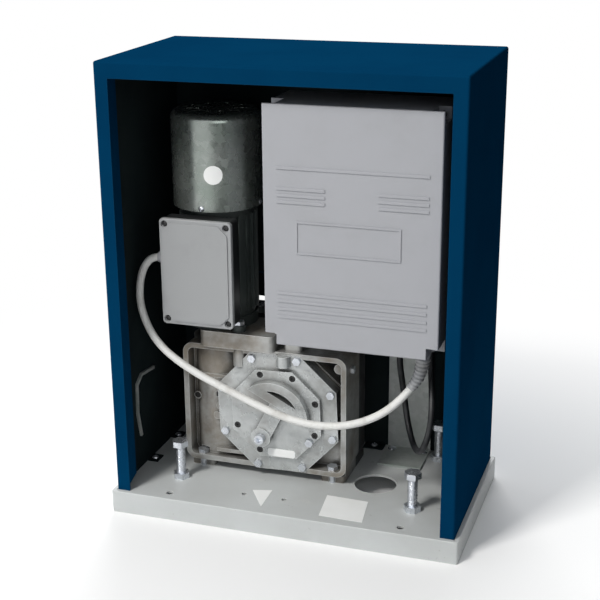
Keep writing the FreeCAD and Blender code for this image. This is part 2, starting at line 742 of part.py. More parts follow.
def cap_screws():
    """Socket screws sunk into the bearing cap."""
    screws = []
    for x, z in cap_screw_places():
        seat = V(x, CAP_FRONT + CAP_SCREW_SINK, z)
        head = Part.makeCylinder(4.2, 2.4)
        key = hexagon(2.0, 2.0, 0.8)
        shank = Part.makeCylinder(2.5, 12.0, V(0, 0, -12.0))
        screws.append(aimed(head.cut(key).fuse(shank).removeSplitter(), seat, V(0, -1, 0)))
    return screws


def cover_bolts():
    """Bolts round the gearbox cover, one through the bearing cap, and the earth bolt."""
    bolts = [hex_bolt(3.0, 11.0, V(BOX_RIGHT, 0, EARTH_BOLT_Z), V(1, 0, 0))]
    cap_x, cap_z = CAP_BOLT_AT
    bolts.append(hex_bolt(3.0, CAP_T + 11, V(cap_x, CAP_FRONT, cap_z), V(0, -1, 0)))
    for a, b in ring(8, COVER_BOLT_CIRCLE_R, COVER_ANGLE):
        seat = V(PINION_X + a, COVER_FRONT, PINION_Z + b)
        bolts.append(hex_bolt(3.0, COVER_T + 5, seat, V(0, -1, 0)))
    return bolts


def foot_bolts():
    bolts = []
    for x, y, seat in foot_places():
        length = seat - BASE_H + BASE_SHEET + 5
        bolts.append(hex_bolt(FOOT_BOLT_R, length, V(x, y, seat), V(0, 0, 1)))
    return bolts


def filler_plug():
    px, py = FILLER_AT
    return hex_bolt(FILLER_R, 11.0, V(px, py, FILLER_TOP), V(0, 0, 1))


def worm_bearing_seats():
    """Underside heights of the lower and upper worm bearings."""
    low = BOX_BOTTOM + 8.0
    high = BOX_TOP - 6.0 - WORM_BEARING[1]
    return low, high


def rotor_bearings():
    """The two bearings beside the worm and the one at the top of the motor."""
    race = bearing(TOP_BEARING[0], 7.5 + RUNNING_GAP, TOP_BEARING[1])
    parts = [aimed(race, V(MOTOR_X, MOTOR_Y, TOP_SHIELD_TOP - TOP_BEARING[1]), V(0, 0, 1))]
    for z in worm_bearing_seats():
        race = bearing(WORM_BEARING[0], 10.0 + RUNNING_GAP, WORM_BEARING[1])
        parts.append(aimed(race, V(MOTOR_X, MOTOR_Y, z), V(0, 0, 1)))
    return parts


def shaft_bearings():
    parts = []
    for y in (COVER_FRONT, GEAR_ROOM_BACK):
        race = bearing(SHAFT_BEARING[0], SHAFT_R + RUNNING_GAP, SHAFT_BEARING[1])
        parts.append(aimed(race, V(PINION_X, y, PINION_Z), V(0, 1, 0)))
    return parts


def shaft_seal():
    """Lip seal pressed in behind the rear bearing."""
    y0 = GEAR_ROOM_BACK + SHAFT_BEARING[1]
    y1 = BOX_BACK
    hole_r = SHAFT_R + RUNNING_GAP
    profile = [(hole_r, y0 + 1), (hole_r + 2, y0), (SEAL_R, y0), (SEAL_R, y1),
               (SEAL_R - 3, y1), (SEAL_R - 4, y1 - 2), (hole_r + 3, y1 - 2), (hole_r, y1 - 1)]
    corners = [V(r, y, 0) for r, y in profile]
    face = Part.Face(Part.makePolygon(corners + corners[:1]))
    seal = face.revolve(V(0, 0, 0), V(0, 1, 0), 360)
    seal.translate(V(PINION_X, 0, PINION_Z))
    return seal


# ---------------------------------------------------------------- release lever

def release_lever():
    """Cast handle with a D-shaped grip, turning on one screw on the bearing cap."""
    back = CAP_FRONT - LEVER_GAP
    front = back - LEVER_T
    centre = LEVER_LENGTH - LEVER_ARC_R
    disc = axle(LEVER_ARC_R, front, back, 0, centre)
    grip_low = LEVER_GRIP_AT
    grip_high = grip_low + LEVER_GRIP_W
    wide = 2 * LEVER_ARC_R
    grip = disc.common(box(-wide, wide, front, back, grip_low, LEVER_LENGTH + 1))
    hole = axle(LEVER_OPEN_R, front - 1, back + 1, 0, centre)
    hole = hole.common(box(-wide, wide, front - 1, back + 1, grip_high, LEVER_LENGTH + 1))
    grip = grip.cut(hole)
    half = LEVER_STEM_W / 2
    stem = box(-half, half, front + 3, back, 0, grip_low + 1)
    hub = axle(LEVER_HUB_R, front + 1, back, 0, 0)
    lever = fuse([grip, stem, hub])
    lever = lever.cut(axle(LEVER_SCREW_R + RUNNING_GAP, front - 1, back + 1, 0, 0))
    lever.rotate(V(0, 0, 0), V(0, 1, 0), 90 - LEVER_LEAN)
    lever.translate(V(LEVER_PIVOT_X, 0, LEVER_PIVOT_Z))
    return lever


def lever_screw():
    seat = CAP_FRONT - LEVER_GAP - LEVER_T + 1 - FIT
    length = COVER_FRONT + 8 - seat
    return socket_screw(LEVER_SCREW_R, length, V(LEVER_PIVOT_X, seat, LEVER_PIVOT_Z), V(0, -1, 0))


# ---------------------------------------------------------------- gears and shafts

def gear_outline(module, teeth, thin, y):
    """Closed wire of a spur gear with curved flanks, in the XZ plane about the origin."""
    pitch_r = module * teeth / 2
    base_r = pitch_r * math.cos(math.radians(PRESSURE_ANGLE))
    tip_r = pitch_r + module
    root_r = pitch_r - 1.25 * module
    half_tooth = (math.pi * module / 2 - thin) / 2 / pitch_r
    inv_pitch = math.tan(math.acos(base_r / pitch_r)) - math.acos(base_r / pitch_r)

    def flank_angle(r):
        lean = math.acos(min(1.0, base_r / r))
        return half_tooth + inv_pitch - (math.tan(lean) - lean)

    def at(r, angle):
        return V(r * math.cos(angle), y, r * math.sin(angle))

    low_r = max(root_r + 0.05 * module, base_r)
    mid_r = (low_r + tip_r) / 2
    edges = []
    step = 2 * math.pi / teeth
    for i in range(teeth):
        mid = i * step
        root_a = at(root_r, mid - flank_angle(low_r))
        low_a = at(low_r, mid - flank_angle(low_r))
        tip_a = at(tip_r, mid - flank_angle(tip_r))
        tip_b = at(tip_r, mid + flank_angle(tip_r))
        low_b = at(low_r, mid + flank_angle(low_r))
        root_b = at(root_r, mid + flank_angle(low_r))
        next_root = at(root_r, mid + step - flank_angle(low_r))
        flank_a = Part.Arc(low_a, at(mid_r, mid - flank_angle(mid_r)), tip_a)
        flank_b = Part.Arc(tip_b, at(mid_r, mid + flank_angle(mid_r)), low_b)
        valley = Part.Arc(root_b, at(root_r, mid + step / 2), next_root)
        edges.append(Part.LineSegment(root_a, low_a).toShape())
        edges.append(flank_a.toShape())
        edges.append(Part.Arc(tip_a, at(tip_r, mid), tip_b).toShape())
        edges.append(flank_b.toShape())
        edges.append(Part.LineSegment(low_b, root_b).toShape())
        edges.append(valley.toShape())
    return Part.Wire(Part.__sortEdges__(edges))


def drive_pinion():
    wire = gear_outline(PINION_MODULE, PINION_TEETH, 0.0, PINION_BACK)
    blank = Part.Face(wire).extrude(V(0, PINION_WIDTH, 0))
    tip_r = PINION_MODULE * (PINION_TEETH / 2 + 1)
    bevel = 2.5
    trim_profile = [(0, PINION_BACK - 1), (tip_r - bevel, PINION_BACK - 1),
                    (tip_r - bevel, PINION_BACK), (tip_r, PINION_BACK + bevel),
                    (tip_r, PINION_FRONT - bevel), (tip_r - bevel, PINION_FRONT),
                    (0, PINION_FRONT)]
    corners = [V(r, y, 0) for r, y in trim_profile]
    turned = Part.Face(Part.makePolygon(corners + corners[:1]))
    blank = blank.common(turned.revolve(V(0, 0, 0), V(0, 1, 0), 360))
    floor = PINION_FRONT - PINION_RECESS_DEPTH
    recess = axle(PINION_RECESS_R, floor, PINION_FRONT + 1, 0, 0)
    recess = recess.cut(axle(PINION_HUB_R, floor, PINION_FRONT + 1, 0, 0))
    collar = axle(PINION_COLLAR_R, PINION_BACK - PINION_COLLAR_W, PINION_BACK, 0, 0)
    gear = fuse([blank, collar]).cut(recess)
    gear = gear.cut([axle(SHAFT_R, REAR, PINION_FRONT + 1, 0, 0), keyway(REAR)])
    gear.translate(V(PINION_X, 0, PINION_Z))
    return gear


def keyway(start):
    half = KEY_W / 2
    return box(-half, half, start, PINION_FRONT + 1, 0, SHAFT_R + KEY_PROUD)


def pinion_key():
    half = KEY_W / 2
    start = PINION_BACK - PINION_COLLAR_W
    key = box(-half, half, start, PINION_FRONT - 6, SHAFT_R - 4.0, SHAFT_R + KEY_PROUD)
    key.translate(V(PINION_X, 0, PINION_Z))
    return key


def output_shaft():
    shaft = axle(SHAFT_R, COVER_FRONT + 1, PINION_FRONT - 3, 0, 0)
    half = KEY_W / 2
    start = PINION_BACK - PINION_COLLAR_W
    shaft = shaft.cut(box(-half, half, start, PINION_FRONT, SHAFT_R - 4.0, SHAFT_R + 1))
    bore = axle(3.3, PINION_FRONT - 25, PINION_FRONT, 0, 0)
    shaft = shaft.cut(bore)
    shaft.translate(V(PINION_X, 0, PINION_Z))
    return shaft


def pinion_retainer():
    """Washer and bolt that keep the pinion on the shaft."""
    y0 = PINION_FRONT - 3
    washer = axle(13.0, y0, y0 + 2.0, PINION_X, PINION_Z)
    washer = washer.cut(axle(3.3, y0 - 1, y0 + 3, PINION_X, PINION_Z))
    bolt = hex_bolt(3.3, 22.0, V(PINION_X, y0 + 2.0, PINION_Z), V(0, 1, 0))
    return [washer, bolt]


def worm_wheel():
    """Bronze wheel: two twisted halves joined at the middle, so its teeth follow the worm."""
    lead_angle = math.atan(WORM_MODULE / (2 * WORM_PITCH_R))
    half_w = WHEEL_WIDTH / 2
    twist = math.degrees(half_w * math.tan(lead_angle) / WHEEL_PITCH_R)
    wires = []
    for side in (-1, 1):
        wire = gear_outline(WORM_MODULE, WHEEL_TEETH, GEAR_BACKLASH, MOTOR_Y + side * half_w)
        wire.rotate(V(0, 0, 0), V(0, 1, 0), side * twist)
        wires.append(wire)
    rim = Part.makeLoft(wires, True, True)
    hub_half = WHEEL_HUB_W / 2
    hub = axle(WHEEL_HUB_R, MOTOR_Y - hub_half, MOTOR_Y + hub_half, 0, 0)
    wheel = rim.fuse(hub)
    for side in (-1, 1):
        y = MOTOR_Y + side * (half_w - 4)
        groove = axle(WHEEL_PITCH_R - 12, min(y, y + side * 5), max(y, y + side * 5), 0, 0)
        wheel = wheel.cut(groove.cut(axle(WHEEL_HUB_R + 4, MOTOR_Y - 50, MOTOR_Y + 50, 0, 0)))
    wheel = wheel.cut(axle(SHAFT_R, MOTOR_Y - 50, MOTOR_Y + 50, 0, 0))
    wheel.translate(V(PINION_X, 0, PINION_Z))
    return wheel


def worm_shaft():
    """Motor shaft with the single-start right-hand worm cut on it."""
    pitch = math.pi * WORM_MODULE
    root_r = WORM_PITCH_R - 1.2 * WORM_MODULE
    tip_r = WORM_PITCH_R + WORM_MODULE
    low, high = worm_bearing_seats()
    z0 = PINION_Z - WORM_LENGTH / 2
    z1 = PINION_Z + WORM_LENGTH / 2
    core = [post(10.0, low, high + WORM_BEARING[1], 0, 0)]
    core.append(post(12.0, low + WORM_BEARING[1] + 1, high - 1, 0, 0))
    core.append(post(root_r, z0 - 3, z1 + 3, 0, 0))
    core.append(post(MOTOR_SHAFT_R, high, TOP_SHIELD_TOP - TOP_BEARING[1] - 0.5, 0, 0))
    core.append(post(7.5, TOP_SHIELD_TOP - TOP_BEARING[1] - 3, TOP_SHIELD_TOP + FAN_H + 8, 0, 0))
    flank = math.tan(math.radians(PRESSURE_ANGLE))
    half_space = pitch / 4
    half_tip = half_space - WORM_MODULE * flank
    half_root = half_space + 1.2 * WORM_MODULE * flank
    sink = 0.6
    profile = [(root_r - sink, -half_root), (tip_r, -half_tip), (tip_r, half_tip),
               (root_r - sink, half_root)]
    helix = Part.makeHelix(pitch, WORM_LENGTH, WORM_PITCH_R)
    corners = [V(r, 0, z) for r, z in profile]
    section = Part.makePolygon(corners + corners[:1])
    sweep = Part.BRepOffsetAPI.MakePipeShell(Part.Wire(helix.Edges))
    sweep.setFrenetMode(True)
    sweep.add(section)
    sweep.build()
    sweep.makeSolid()
    thread = sweep.shape()
    thread.translate(V(0, 0, z0))
    limits = post(tip_r + 1, z0, z1, 0, 0)
    turns = WORM_LENGTH / 2 / pitch
    thread.rotate(V(0, 0, 0), V(0, 0, 1), -360.0 * (turns - math.floor(turns)) + 180.0)
    shaft = fuse(core + [thread.common(limits)])
    shaft.translate(V(MOTOR_X, MOTOR_Y, 0))
    return shaft


# ---------------------------------------------------------------- motor

def neck_bolt_places():
    """Bolts of the motor flange at three corners, none at the front left."""
    corners = [(MOTOR_X + a, MOTOR_Y + b) for a, b in ring(4, MOTOR_BOLT_CIRCLE_R, 45.0)]
    return [(x, y) for x, y in corners if x > MOTOR_X or y > MOTOR_Y]


def motor_neck():
    """Block between gearbox and motor, its left side running back on a slant."""
    front = MOTOR_Y - NECK_HALF_D
    back = MOTOR_Y + NECK_HALF_D
    outline = [(NECK_LEFT_FRONT, front), (NECK_RIGHT, front), (NECK_RIGHT, back),
               (NECK_LEFT, back), (NECK_LEFT, back - 14)]
    block = rounded(prism(outline, 2, BOX_TOP, NECK_H), 2, NECK_CORNER_R)
    block = block.cut(post(20.0, BOX_TOP - 1, NECK_TOP + 1, MOTOR_X, MOTOR_Y))
    for x, y in neck_bolt_places():
        block = block.cut(post(MOTOR_BOLT_R + FIT, BOX_TOP - 1, NECK_TOP + 1, x, y))
    slot = box(NECK_RIGHT - 22, NECK_RIGHT - 8, MOTOR_Y - 30, MOTOR_Y + 30,
               BOX_TOP - 1, NECK_TOP + 1)
    return block.cut(rounded(slot, 2, 5.0))


def lower_shield():
    """End shield with three ears that bolts the motor to the neck."""
    disc = post(SHIELD_R, NECK_TOP, FRAME_BOTTOM, MOTOR_X, MOTOR_Y)
    ears = [post(9.0, NECK_TOP, NECK_TOP + SHIELD_EAR_T, x, y) for x, y in neck_bolt_places()]
    shield = fuse([disc] + ears)
    cuts = [post(12.0, NECK_TOP - 1, FRAME_BOTTOM + 1, MOTOR_X, MOTOR_Y)]
    cuts.append(post(SHIELD_R - 12, NECK_TOP + 5, FRAME_BOTTOM + 1, MOTOR_X, MOTOR_Y))
    for x, y in neck_bolt_places():
        cuts.append(post(MOTOR_BOLT_R + FIT, NECK_TOP - 1, FRAME_BOTTOM + 1, x, y))
    return shield.cut(cuts)


def motor_bolts():
    bolts = []
    seat = NECK_TOP + SHIELD_EAR_T
    for x, y in neck_bolt_places():
        bolts.append(hex_bolt(MOTOR_BOLT_R, seat - BOX_TOP + 14, V(x, y, seat), V(0, 0, 1)))
    return bolts


def motor_frame():
    """Finned tube with a flat pad for the terminal box."""
    tube = post(FRAME_R, FRAME_BOTTOM, FRAME_TOP, 0, 0)
    fins = []
    for i in range(FIN_COUNT):
        fin = box(FRAME_R - 1, FRAME_R + FIN_REACH, -FIN_T / 2, FIN_T / 2,
                  FRAME_BOTTOM + 6, FRAME_TOP - 6)
        fin.rotate(V(0, 0, 0), V(0, 0, 1), 360.0 * (i + 0.5) / FIN_COUNT)
        fins.append(fin)
    body = fuse([tube] + fins)
    body.translate(V(MOTOR_X, MOTOR_Y, 0))
    pad = box(MOTOR_X - 32, MOTOR_X + 32, TERMINAL_BACK, MOTOR_Y - 20,
              TERMINAL_BOTTOM + 12, TERMINAL_BOTTOM + TERMINAL_H - 30)
    body = fuse([body, pad])
    cuts = [post(FRAME_R - FRAME_WALL, FRAME_BOTTOM - 1, FRAME_TOP + 1, MOTOR_X, MOTOR_Y)]
    for x, z in terminal_pad_places():
        cuts.append(axle(2.0, TERMINAL_BACK - 1, TERMINAL_BACK + 7, x, z))
    return body.cut(cuts).removeSplitter()


def terminal_pad_places():
    return [(MOTOR_X + a, z) for a in (-24.0, 24.0)
            for z in (TERMINAL_BOTTOM + 24, TERMINAL_BOTTOM + TERMINAL_H - 42)]


def stator_core():
    z0 = FRAME_BOTTOM + 6 + WINDING_H
    outer = post(FRAME_R - FRAME_WALL, z0, z0 + STATOR_LENGTH, MOTOR_X, MOTOR_Y)
    return outer.cut(post(STATOR_BORE_R, z0 - 1, z0 + STATOR_LENGTH + 1, MOTOR_X, MOTOR_Y))


def stator_windings():
    """Copper coil ends above and below the laminations."""
    z0 = FRAME_BOTTOM + 6
    z1 = z0 + WINDING_H + STATOR_LENGTH
    coils = []
    for z in (z0, z1):
        coil = post(FRAME_R - FRAME_WALL - 3, z, z + WINDING_H, MOTOR_X, MOTOR_Y)
        coil = coil.cut(post(STATOR_BORE_R + 3, z - 1, z + WINDING_H + 1, MOTOR_X, MOTOR_Y))
        coils.append(coil)
    return coils


def rotor_core():
    z0 = FRAME_BOTTOM + 6 + WINDING_H
    r = STATOR_BORE_R - AIR_GAP
    core = post(r, z0, z0 + STATOR_LENGTH, MOTOR_X, MOTOR_Y)
    ends = [post(r - 2, z0 - 4, z0 + STATOR_LENGTH + 4, MOTOR_X, MOTOR_Y)]
    bore = post(MOTOR_SHAFT_R, z0 - 5, z0 + STATOR_LENGTH + 5, MOTOR_X, MOTOR_Y)
    return fuse([core] + ends).cut(bore)


def upper_shield():
    disc = post(SHIELD_R, FRAME_TOP, TOP_SHIELD_TOP, MOTOR_X, MOTOR_Y)
    ears = []
    for a, b in ring(4, 1.0, 90.0):
        ear = post(7.0, FRAME_TOP + 2, TOP_SHIELD_TOP, 0, 0)
        ear.translate(V(MOTOR_X + a * 47, MOTOR_Y + b * 47, 0))
        ears.append(ear)
    inner = COWL_R - COWL_SHEET
    reach = post(inner, FRAME_TOP, TOP_SHIELD_TOP, MOTOR_X, MOTOR_Y)
    lugs = []
    for a, b in ring(4, 1.0, 90.0):
        lug = box(-6, 6, -6, 6, FRAME_TOP + 2, TOP_SHIELD_TOP)
        lug.translate(V(MOTOR_X + a * 51, MOTOR_Y + b * 51, 0))
        lugs.append(lug.common(reach))
    shield = fuse([disc] + ears + lugs)
    seat = TOP_SHIELD_TOP - TOP_BEARING[1]
    cuts = [post(TOP_BEARING[0], seat, TOP_SHIELD_TOP + 1, MOTOR_X, MOTOR_Y)]
    cuts.append(post(10.0, FRAME_TOP - 1, TOP_SHIELD_TOP + 1, MOTOR_X, MOTOR_Y))
    for at, toward in cowl_screw_places():
        cuts.append(aimed(Part.makeCylinder(2.0, 9.0, V(0, 0, -9.0)), at, toward))
    return shield.cut(cuts)


def cowl_screw_places():
    z = FRAME_TOP + SHIELD_T / 2 + 1
    places = []
    for a, b in ring(4, 1.0, 90.0):
        toward = V(a, b, 0)
        places.append((V(MOTOR_X + a * COWL_R, MOTOR_Y + b * COWL_R, z), toward))
    return places


def machine_screws():
    """Like screws of the fan cowl, the limit switch shelf and the terminal box."""
    places = cowl_screw_places()
    for x, y in LIMIT_FOOT_AT:
        places.append((V(x, y, BOX_TOP + LIMIT_SHELF_T), V(0, 0, 1)))
    for x, z in terminal_pad_places():
        places.append((V(x, TERMINAL_BACK - TERMINAL_WALL, z), V(0, -1, 0)))
    return [dome_screw(2.0, 8.0, at, toward) for at, toward in places]


def cowl_drum(inset):
    """Drum with a rounded top edge, inset from the outer skin of the cowl."""
    bottom = COWL_BOTTOM - (1.0 if inset else 0.0)
    top = COWL_TOP - inset
    drum = post(COWL_R - inset, bottom, top, 0, 0)
    rim = [e for e in drum.Edges if min(v.Z for v in e.Vertexes) > top - 1e-6]
    return drum.makeFillet(COWL_BEND - inset, rim)


def fan_cowl():
    cowl = cowl_drum(0.0).cut(cowl_drum(COWL_SHEET))
    vents = []
    for i in range(COWL_VENTS):
        slot = box(-11, 11, -2.5, 2.5, COWL_TOP - 5, COWL_TOP + 1)
        slot = rounded(slot, 2, 2.4)
        slot.translate(V(COWL_VENT_R, 0, 0))
        slot.rotate(V(0, 0, 0), V(0, 0, 1), 360.0 * (i + 0.5) / COWL_VENTS)
        vents.append(slot)
    cowl = cowl.cut(vents)
    cowl.translate(V(MOTOR_X, MOTOR_Y, 0))
    cuts = []
    for at, toward in cowl_screw_places():
        cuts.append(aimed(Part.makeCylinder(2.0 + FIT, 8.0, V(0, 0, -6.0)), at, toward))
    return cowl.cut(cuts)


def cooling_fan():
    z0 = TOP_SHIELD_TOP + 4
    disc = post(FAN_R, z0, z0 + 3, 0, 0)
    hub = post(13.0, z0, z0 + FAN_H, 0, 0)
    blades = []
    for i in range(FAN_BLADES):
        blade = box(11.0, FAN_R - 2, -1.25, 1.25, z0 + 2, z0 + FAN_H - 8)
        blade.rotate(V(0, 0, 0), V(0, 0, 1), 360.0 * i / FAN_BLADES)
        blades.append(blade)
    fan = fuse([disc, hub] + blades).cut(post(7.5, z0 - 1, z0 + FAN_H + 1, 0, 0))
    fan.translate(V(MOTOR_X, MOTOR_Y, 0))
    return fan


# ---------------------------------------------------------------- terminal box

def terminal_lid_screw_places():
    inset = 7.0
    half = TERMINAL_W / 2 - inset
    z0 = TERMINAL_BOTTOM + inset
    z1 = TERMINAL_BOTTOM + TERMINAL_H - inset
    return [(MOTOR_X + a, z) for a in (-half, half) for z in (z0, z1)]


def terminal_box():
    half = TERMINAL_W / 2
    lid_back = TERMINAL_FRONT + TERMINAL_LID_T
    z0 = TERMINAL_BOTTOM
    z1 = TERMINAL_BOTTOM + TERMINAL_H
    shell = box(MOTOR_X - half + 1, MOTOR_X + half - 1, lid_back, TERMINAL_BACK, z0 + 1, z1 - 1)
    shell = rounded(shell, 1, 5.0)
    t = TERMINAL_WALL
    room = box(MOTOR_X - half + 1 + t, MOTOR_X + half - 1 - t, lid_back - 1, TERMINAL_BACK - t,
               z0 + 1 + t, z1 - 1 - t)
    shell = shell.cut(rounded(room, 1, 3.0))
    posts = []
    for x, z in terminal_lid_screw_places():
        posts.append(axle(5.0, lid_back, TERMINAL_BACK - 1, x, z))
    shell = fuse([shell] + posts)
    cuts = []
    for x, z in terminal_lid_screw_places():
        cuts.append(axle(2.0, lid_back - 1, lid_back + 12, x, z))
    for x, z in terminal_pad_places():
        cuts.append(axle(2.0 + FIT, TERMINAL_BACK - 10, TERMINAL_BACK + 1, x, z))
    cuts.append(rod(7.0, MOTOR_X - half - 1, MOTOR_X - half + 8, *TERMINAL_GLAND_AT))
    return shell.cut(cuts)


def terminal_lid():
    """Lid with a raised middle, its corners cut off round the four screws."""
    half = TERMINAL_W / 2
    back = TERMINAL_FRONT + TERMINAL_LID_T
    z0 = TERMINAL_BOTTOM
    z1 = TERMINAL_BOTTOM + TERMINAL_H
    lid = rounded(box(MOTOR_X - half, MOTOR_X + half, TERMINAL_FRONT, back, z0, z1), 1, 5.0)
    front = [e for e in lid.Edges
             if max(abs(v.Y - TERMINAL_FRONT) for v in e.Vertexes) < 1e-6]
    lid = lid.makeFillet(1.2, front)
    x0 = MOTOR_X - half + LID_STEP_INSET
    x1 = MOTOR_X + half - LID_STEP_INSET
    c = LID_STEP_CORNER
    low = z0 + LID_STEP_INSET
    high = z1 - LID_STEP_INSET
    outline = [(x0 + c, low), (x1 - c, low), (x1, low + c), (x1, high - c), (x1 - c, high),
               (x0 + c, high), (x0, high - c), (x0, low + c)]
    raised = rounded(prism(outline, 1, TERMINAL_FRONT - LID_STEP, LID_STEP + 1), 1, 4.0)
    lid = lid.fuse(raised)
    cuts = []
    for x, z in terminal_lid_screw_places():
        cuts.append(axle(2.0 + FIT, TERMINAL_FRONT - 1, back + 1, x, z))
        cuts.append(axle(4.6, TERMINAL_FRONT - 1, TERMINAL_FRONT + 3, x, z))
    return lid.cut(cuts)


def terminal_lid_screws():
    screws = []
    for x, z in terminal_lid_screw_places():
        seat = V(x, TERMINAL_FRONT + 3, z)
        screws.append(dome_screw(2.0, 13.0, seat, V(0, -1, 0)))
    return screws


def terminal_block():
    """Row of screw terminals on the back wall of the terminal box."""
    back = TERMINAL_BACK - TERMINAL_WALL
    low = TERMINAL_BOTTOM + 43.0
    rows = []
    for i in range(6):
        x = MOTOR_X - 30 + 10 * i
        cell = box(x, x + 10, back - 12, back, low, low + 28)
        for z in (low + 6, low + 22):
            cell = cell.cut(axle(3.0, back - 13, back - 7, x + 5, z))
        rows.append(cell)
    return fuse(rows)


# ---------------------------------------------------------------- control box

def control_corner_places():
    inset = CONTROL_CORNER / 2
    return [(x, z) for x in (CONTROL_LEFT + inset, CONTROL_RIGHT - inset)
            for z in (CONTROL_BOTTOM + inset, CONTROL_TOP - inset)]


def gland_places():
    return [SPARE_GLAND_AT, MOTOR_GLAND_AT] + list(CONTROL_GLANDS_AT)


def control_box():
    t = CONTROL_WALL
    tub = box(CONTROL_LEFT, CONTROL_RIGHT, CONTROL_SEAM, CONTROL_BACK, CONTROL_BOTTOM, CONTROL_TOP)
    tub = rounded(tub, 1, 4.0)
    room = box(CONTROL_LEFT + t, CONTROL_RIGHT - t, CONTROL_SEAM - 1, CONTROL_BACK - t,
               CONTROL_BOTTOM + t, CONTROL_TOP - t)
    tub = tub.cut(room)
    towers = []
    half = CONTROL_CORNER / 2
    for x, z in control_corner_places():
        tower = box(x - half, x + half, CONTROL_SEAM, CONTROL_BACK, z - half, z + half)
        towers.append(rounded(tower, 1, 3.5))
    tub = fuse([tub] + towers)
    cuts = []
    for x, z in control_corner_places():
        cuts.append(axle(2.5, CONTROL_SEAM - 1, CONTROL_SEAM + 20, x, z))
    for x, y in gland_places():
        cuts.append(post(GLAND_THREAD_R, CONTROL_BOTTOM - 1, CONTROL_BOTTOM + t + 1, x, y))
    for x, z in bracket_screw_places():
        cuts.append(axle(2.5 + FIT, CONTROL_BACK - 10, CONTROL_BACK + 1, x, z))
    return tub.cut(cuts)


def control_lid():
    """Deep lid, its four corners cut back so that the screws are reached from the front."""
    lid = box(CONTROL_LEFT, CONTROL_RIGHT, CONTROL_FRONT, CONTROL_SEAM,
              CONTROL_BOTTOM, CONTROL_TOP)
    front = [e for e in lid.Edges
             if max(abs(v.Y - CONTROL_FRONT) for v in e.Vertexes) < 1e-6]
    lid = lid.makeFillet(2.0, front)
    t = CONTROL_WALL
    room = box(CONTROL_LEFT + t, CONTROL_RIGHT - t, CONTROL_FRONT + t, CONTROL_SEAM + 1,
               CONTROL_BOTTOM + t, CONTROL_TOP - t)
    lid = lid.cut(room)
    pockets = []
    cuts = []
    ear = 4.0
    half = CONTROL_CORNER / 2
    for x, z in control_corner_places():
        pocket = box(x - half, x + half, CONTROL_FRONT + t, CONTROL_SEAM, z - half, z + half)
        pockets.append(pocket)
        out_x = 1 if x > 80 else -1
        out_z = 1 if z > 400 else -1
        side = CONTROL_RIGHT if out_x > 0 else CONTROL_LEFT
        flat = CONTROL_TOP if out_z > 0 else CONTROL_BOTTOM
        keep = CONTROL_CORNER - t
        x0, x1 = sorted((side + out_x, side - out_x * keep))
        z0, z1 = sorted((flat + out_z, flat - out_z * keep))
        start = CONTROL_FRONT - 1 if out_z < 0 else CONTROL_FRONT + t
        cuts.append(box(x0, x1, start, CONTROL_SEAM - ear, z0, z1))
        cuts.append(axle(2.5 + FIT, CONTROL_SEAM - ear - 1, CONTROL_SEAM + 1, x, z))
    lid = fuse([lid] + pockets).cut(cuts)
    return fuse([lid] + lid_ribs())


def lid_ribs():
    """Raised lines and the plain frame moulded on the front of the lid."""
    ribs = []
    left = CONTROL_LEFT + 17
    right = CONTROL_RIGHT - 15
    short = 60.0
    y0 = CONTROL_FRONT - RIB_PROUD
    y1 = CONTROL_FRONT + 1
    lines = [(left, right, CONTROL_TOP - 76)]
    for drop in (101.0, 109.0, 117.0):
        z = CONTROL_TOP - drop
        lines.append((left, left + short, z))
        lines.append((right - short, right, z))
    for rise in (66.0, 56.0, 46.0, 36.0):
        lines.append((left, right, CONTROL_BOTTOM + rise))
    for x0, x1, z in lines:
        ribs.append(box(x0, x1, y0, y1, z, z + 3.0))
    low = CONTROL_TOP - 178
    high = CONTROL_TOP - 138
    frame = box(left + 24, right - 32, y0, y1, low, high)
    ribs.append(frame.cut(box(left + 26, right - 34, y0 - 1, y1 + 1, low + 2, high - 2)))
    return ribs


def control_lid_screws():
    screws = []
    for x, z in control_corner_places():
        seat = V(x, CONTROL_SEAM - 4.0, z)
        screws.append(socket_screw(2.5, 20.0, seat, V(0, -1, 0)))
    return screws


def board_corners():
    inset = BOARD_INSET + 7
    return [(x, z) for x in (CONTROL_LEFT + inset, CONTROL_RIGHT - inset)
            for z in (BOARD_BOTTOM + 7, BOARD_TOP - 7)]


def control_board():
    front = BOARD_BACK - BOARD_T
    board = box(CONTROL_LEFT + BOARD_INSET, CONTROL_RIGHT - BOARD_INSET, front, BOARD_BACK,
                BOARD_BOTTOM, BOARD_TOP)
    return board.cut([axle(2.0, front - 5, BOARD_BACK + 5, x, z) for x, z in board_corners()])


def board_standoffs():
    posts = []
    for x, z in board_corners():
        shank = axle(4.0, BOARD_BACK, CONTROL_BACK - CONTROL_WALL, x, z)
        tip = axle(2.0, BOARD_BACK - BOARD_T - 3, BOARD_BACK, x, z)
        posts.append(fuse([shank, tip]))
    return posts


def board_parts():
    """What is soldered on the board: transformer, three relays and the terminal strip."""
    face = BOARD_BACK - BOARD_T
    left = CONTROL_LEFT + BOARD_INSET
    low = BOARD_BOTTOM + 10
    core = box(left + 14, left + 50, face - 34, face, BOARD_TOP - 78, BOARD_TOP - 34)
    coil = box(left + 9, left + 55, face - 29, face - 5, BOARD_TOP - 70, BOARD_TOP - 42)
    parts = [fuse([core, rounded(coil, 1, 6.0)])]
    for x in (left + 60, left + 92, left + 124):
        parts.append(box(x, x + 28, face - 16, face, BOARD_TOP - 50, BOARD_TOP - 30))
    strip = box(left + 18, left + 148, face - 14, face, low, low + 14)
    wells = [axle(2.5, face - 15, face - 9, left + 23 + 10 * i, low + 7) for i in range(13)]
    parts.append(strip.cut(wells))
    return parts


